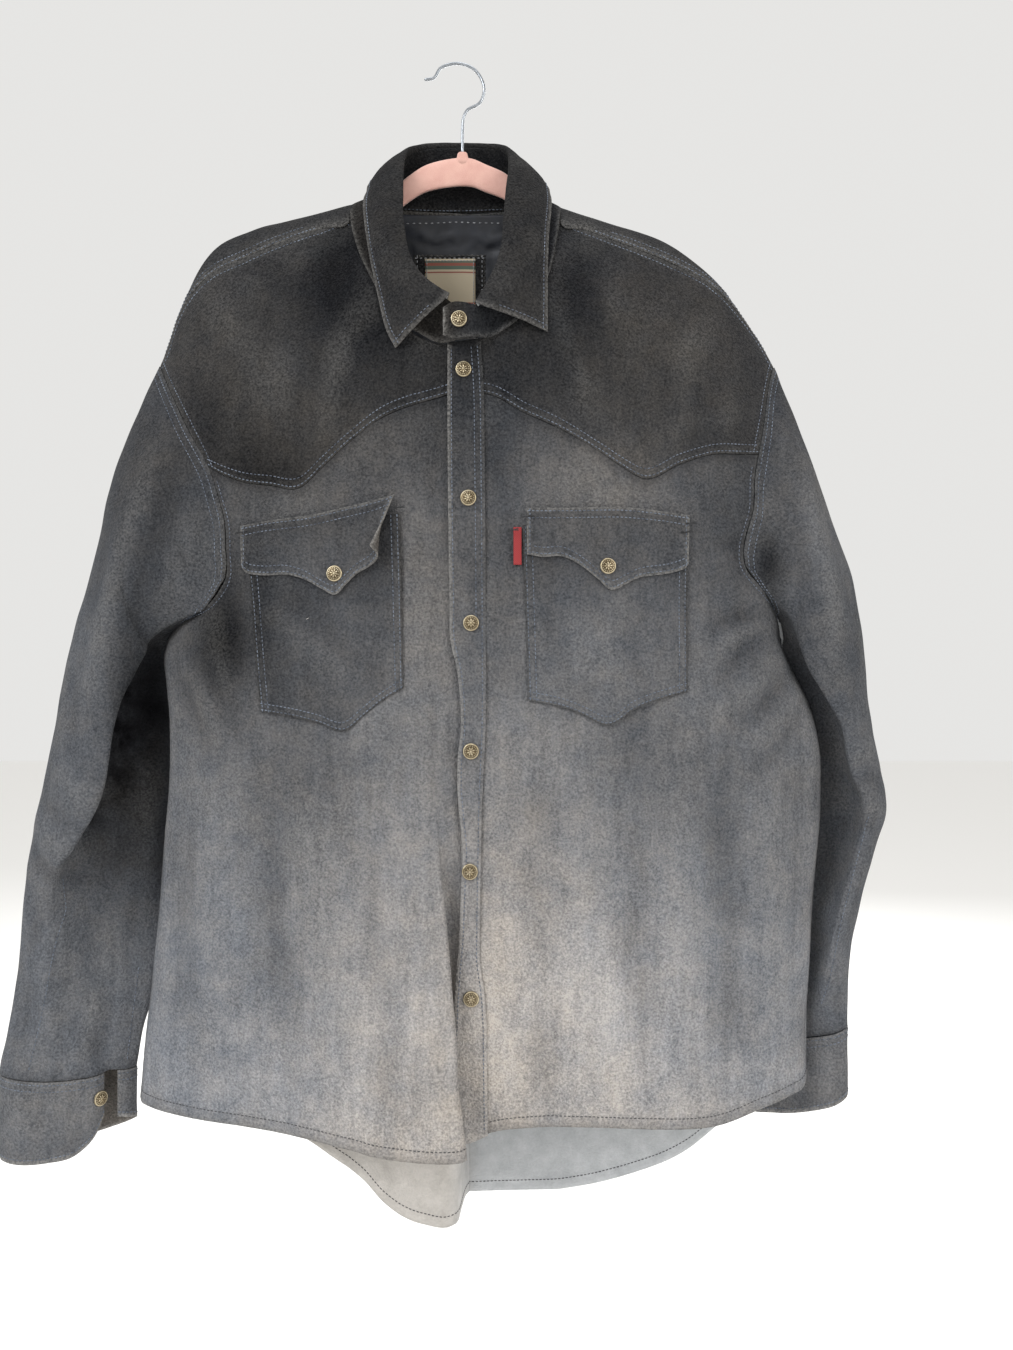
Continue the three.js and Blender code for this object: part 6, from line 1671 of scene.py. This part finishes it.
LABEL_TOP, LABEL_LOW = 156, 200
ribbon = banded_label("cream_ribbon", LABEL_TOP, LABEL_LOW)
label = make_cloth(
    "neck_label", inside_sheet(-30, 14, LABEL_TOP, LABEL_LOW, LABEL_DEPTH, 4, 3), "cream_label", -1,
    thickness=LINING_CLOTH, step=2.0, wave=(0.25, 30, 95), outer_lift=1.8, material=ribbon, inside=ribbon)
topstitch(label, [edge_row(label, edge, 1.6) for edge in ("top", "start", "end", "bottom")], pale_thread, 2.6)

# Snaps
# Pressed brass caps, riveted through the cloth. Each is a low dome with a roped rim, a ring
# of dots and a small plain rosette; the recesses have gone dark.

SNAP_RADIUS = 6.4
SNAP_HEIGHT = 2.4
RINGS, SPOKES = 26, 96
SKIRT = ((1.0, 0.42), (1.0, 0.15), (0.86, 0.0))


def aged_brass(name):
    """Rubbed bright on the high places, brown in the low ones."""
    material, tree, shader, place = blank_material(name)
    stain = speckle(tree, place, 300, 4, 0.7, 0.3, 0.7)
    metal = blend_colours(tree, stain, (0.40, 0.32, 0.19, 1), (0.76, 0.68, 0.50, 1))
    share = sums(tree, "ADD", sums(tree, "MULTIPLY", vertex_value(tree, "raised"), 1.3), 0.06, clamp=True)
    set_surface(
        tree, shader, blend_colours(tree, share, (0.06, 0.04, 0.02, 1), metal),
        {"Metallic": 1.0, "Roughness": 0.34}, (stain, 0.15, 0.0002))
    return material


brass = aged_brass("aged_brass")


def snap_relief(r, turn):
    """Height of the pressed pattern on the cap: rope rim, dots, rosette."""
    rope = np.exp(-((r - 0.90) / 0.055) ** 2) * (0.75 + 0.25 * np.cos(36 * turn))
    dots = np.exp(-((r - 0.68) / 0.06) ** 2) * np.clip(np.cos(18 * turn), 0, 1)
    petals = np.exp(-((r - 0.34) / 0.14) ** 2) * np.clip(np.cos(8 * turn), 0, 1)
    heart = np.exp(-(r / 0.12) ** 2)
    return rope + 0.8 * dots + 0.9 * petals + 0.8 * heart


def add_snap(name, seat, way, tilt=0.3):
    """A cap on its seat: a middle point, rings over the dome, then the skirt and a flat foot."""
    turns = np.arange(SPOKES) * 2 * math.pi / SPOKES
    radii = np.linspace(0, 1, RINGS)[1:] * 0.985
    r, turn = np.meshgrid(radii, turns, indexing="ij")
    relief = snap_relief(r, turn + tilt)
    dome = SNAP_HEIGHT * (0.52 + 0.30 * (1 - r ** 2)) + 0.26 * relief
    dome = np.where(r > 0.95, dome * (1 - ((r - 0.95) / 0.035) ** 2 * 0.18), dome)
    x, y = r * SNAP_RADIUS * np.cos(turn), r * SNAP_RADIUS * np.sin(turn)
    local = [np.array([[0, 0, SNAP_HEIGHT * 0.82 + 0.2]]), np.stack([x, y, dome], -1).reshape(-1, 3)]
    for radius, height in SKIRT:
        local.append(np.stack([radius * SNAP_RADIUS * np.cos(turns), radius * SNAP_RADIUS * np.sin(turns),
                               np.full(SPOKES, height * SNAP_HEIGHT)], -1))
    local = np.concatenate(local)
    up = unit(np.array(way, float))
    right = unit(np.cross((0, 0, 1), up))
    vertices = np.array(seat) + local @ np.stack([right, np.cross(up, right), up])
    faces = [(0, 1 + k, 1 + (k + 1) % SPOKES) for k in range(SPOKES)]
    rows = len(radii) + len(SKIRT)
    for row in range(rows - 1):
        for k in range(SPOKES):
            n = (k + 1) % SPOKES
            a = 1 + row * SPOKES
            faces.append((a + k, a + SPOKES + k, a + SPOKES + n, a + n))
    last = 1 + (rows - 1) * SPOKES
    faces.append(tuple(last + k for k in reversed(range(SPOKES))))
    piece = new_piece(name + "_cap", vertices, faces, [brass])
    raised = np.concatenate([[0.8], relief.ravel(), np.full(len(SKIRT) * SPOKES, 0.3)])
    paint_values(piece, raised=np.clip(raised, 0, 1))
    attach(piece, "root")
    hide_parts(name)


def seat_on(cloth, x, down):
    seat, way, _, _ = cloth["tree"].ray_cast((x, -FAR_OFF, -down), (0, 1, 0))
    way = np.array(way) * (-1 if way[1] > 0 else 1)
    return np.array(seat) + way * SEAM_GAP, way


PLACKET_SNAPS = [(6.6, 274.5), (10.7, 378), (13, 477.5), (13, 578.5), (12.2, 673), (13, 774)]
for k, (x, down) in enumerate(PLACKET_SNAPS):
    add_snap(f"placket_snap_{k + 1}", *seat_on(placket, x, down), tilt=0.4 * k)
add_snap("collar_snap", (3.6, -70.3, -238.5), (0, -1, 0))
add_snap("right_flap_snap", *seat_on(flap["right"], -95.5, 438), tilt=1.0)
add_snap("left_flap_snap", *seat_on(flap["left"], 121.5, 432), tilt=0.7)
add_snap("right_cuff_snap", (-301.1, -8.5, -875), (0.81, -0.58, 0))

# Hanger
# A slim moulded hanger flocked in pale pink, with a bent chrome wire hook that goes down into
# a small neck in its middle. The jacket's shoulders rest on its two arms.

arm_top = through([
    (-207, 170), (-201, 160), (-180, 148.5), (-131, 136), (-108, 132), (-91, 129.5), (-80, 126), (-70, 121),
    (-60, 112.5), (-47, 98.5), (-24, 84), (-3, 79.5), (3.5, 79), (10, 79.5), (24, 85), (41, 93), (56, 112),
    (68, 121), (80, 127), (90, 131.5), (106, 136), (136, 145.5), (180, 160.5), (200, 172), (206, 181)])
arm_height = through([
    (-207, 6), (-201, 14), (-131, 18), (-40, 22), (3.5, 24), (50, 22), (136, 18), (200, 14), (206, 6)])
NUB = {"x": 3.6, "top": 74.8, "width": 9}
HANGER_HALF = 2.5
HOOK_WIRE_RADIUS = 1.3
BAR_XS = [-207, -206.4, -205, *np.linspace(-203, 202, 150), 204, 205.4, 206]
BAR_SIDES, WIRE_SIDES = 24, 14
NECK_RINGS = ((-86, 1.5), (-80.5, 1.22), (-78, 1.02), (-76.4, 0.98), (-75.3, 0.88), (-74.8, 0.66))
SQUARENESS = 0.62


def flock(name, low, high):
    """Short dense velvet fibres blown onto the moulding."""
    material, tree, shader, place = blank_material(name)
    fibres = speckle(tree, place, 1600, 3, 0.8, 0.25, 0.75)
    clouds = speckle(tree, place, 40, 3, 0.6, 0.3, 0.7)
    share = sums(tree, "MULTIPLY", sums(tree, "ADD", fibres, clouds), 0.5)
    set_surface(
        tree, shader, blend_colours(tree, share, low, high),
        {"Roughness": 1.0, "Specular IOR Level": 0.1, "Sheen Weight": 0.5, "Sheen Roughness": 0.4},
        (fibres, 0.5, 0.0005))
    return material


def lofted(rings, low_end, high_end):
    """A closed skin over rings of equal count, with a point at each end."""
    size = len(rings[0])
    vertices = [low_end, *(point for ring in rings for point in ring), high_end]
    sides = [(k, (k + 1) % size) for k in range(size)]
    faces = [(0, 1 + n, 1 + k) for k, n in sides]
    for row in range(len(rings) - 1):
        a = 1 + row * size
        faces += [(a + k, a + n, a + size + n, a + size + k) for k, n in sides]
    last = 1 + (len(rings) - 1) * size
    faces += [(last + k, last + n, len(vertices) - 1) for k, n in sides]
    return vertices, faces


def soft_square(sides):
    """Points round a square with rounded corners, two units across."""
    turns = np.arange(sides) * 2 * math.pi / sides
    return [tuple(np.sign(way) * abs(way) ** SQUARENESS for way in (np.cos(t), np.sin(t))) for t in turns]


bar_rings = []
for x in BAR_XS:
    tall = float(arm_height(x)) / 2
    thin = HANGER_HALF * min(1, 0.45 + 0.28 * (207 - abs(x)) ** 0.5)
    middle = -float(arm_top(x)) - tall
    bar_rings.append([(x, thin * a, middle + tall * b) for a, b in soft_square(BAR_SIDES)])
vertices, faces = lofted(bar_rings, (-207.3, 0, bar_rings[0][0][2]), (206.3, 0, bar_rings[-1][0][2]))
neck_rings = []
for z, share in NECK_RINGS:
    half = NUB["width"] / 2 * share
    thin = min(half, HANGER_HALF - 0.1)
    neck_rings.append([(NUB["x"] + half * a, thin * b, z) for a, b in soft_square(BAR_SIDES)])
neck_vertices, neck_faces = lofted(neck_rings, *((NUB["x"], 0, NECK_RINGS[k][0]) for k in (0, -1)))
faces += [tuple(v + len(vertices) for v in face) for face in neck_faces]
vertices = vertices + neck_vertices
pink = flock("pale_pink_flock", (0.50, 0.27, 0.225, 1), (0.70, 0.45, 0.385, 1))
hanger = new_piece("hanger_flocked", vertices, faces, [pink])
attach(hanger, "root")
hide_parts("hanger_body")

chrome, tree, shader, place = blank_material("chrome_plate")
dullness = speckle(tree, place, 260, 4, 0.7, 0.3, 0.7)
set_surface(
    tree, shader, blend_colours(tree, dullness, (0.22, 0.24, 0.26, 1), (0.42, 0.44, 0.47, 1)),
    {"Metallic": 1.0, "Roughness": 0.30})

HOOK_LINE = [
    (-28.5, 0, -12.5), (-20.6, 0, -10.8), (-14.7, 0, -2.4), (0, 0, HOOK_WIRE_RADIUS), (14.2, 0, -4.3),
    (21.9, 0, -18.7), (18.8, 0, -31.5), (7.6, 0, -38.6), (4.4, 0, -45.5), (NUB["x"], 0, -58),
    (NUB["x"], 0, -NUB["top"] + SEAM_GAP)]
line = np.array([spline_point(HOOK_LINE, s) for s in np.linspace(0, 1, 150)])
ways = unit(np.gradient(line, axis=0))
wire_turns = np.arange(WIRE_SIDES) * 2 * math.pi / WIRE_SIDES
wire_rings = []
for k, (p, way) in enumerate(zip(line, ways)):
    beside = np.cross(way, (0, 1, 0))
    radius = HOOK_WIRE_RADIUS * (0.7 if k == 0 else 1)
    wire_rings.append([p + radius * (math.cos(t) * beside + math.sin(t) * spot(0, 1, 0)) for t in wire_turns])
vertices, faces = lofted(wire_rings, line[0] - ways[0] * 0.5, line[-1])
hook = new_piece("hook_wire", vertices, faces, [chrome])
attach(hook, "root")
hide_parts("hanger_hook")
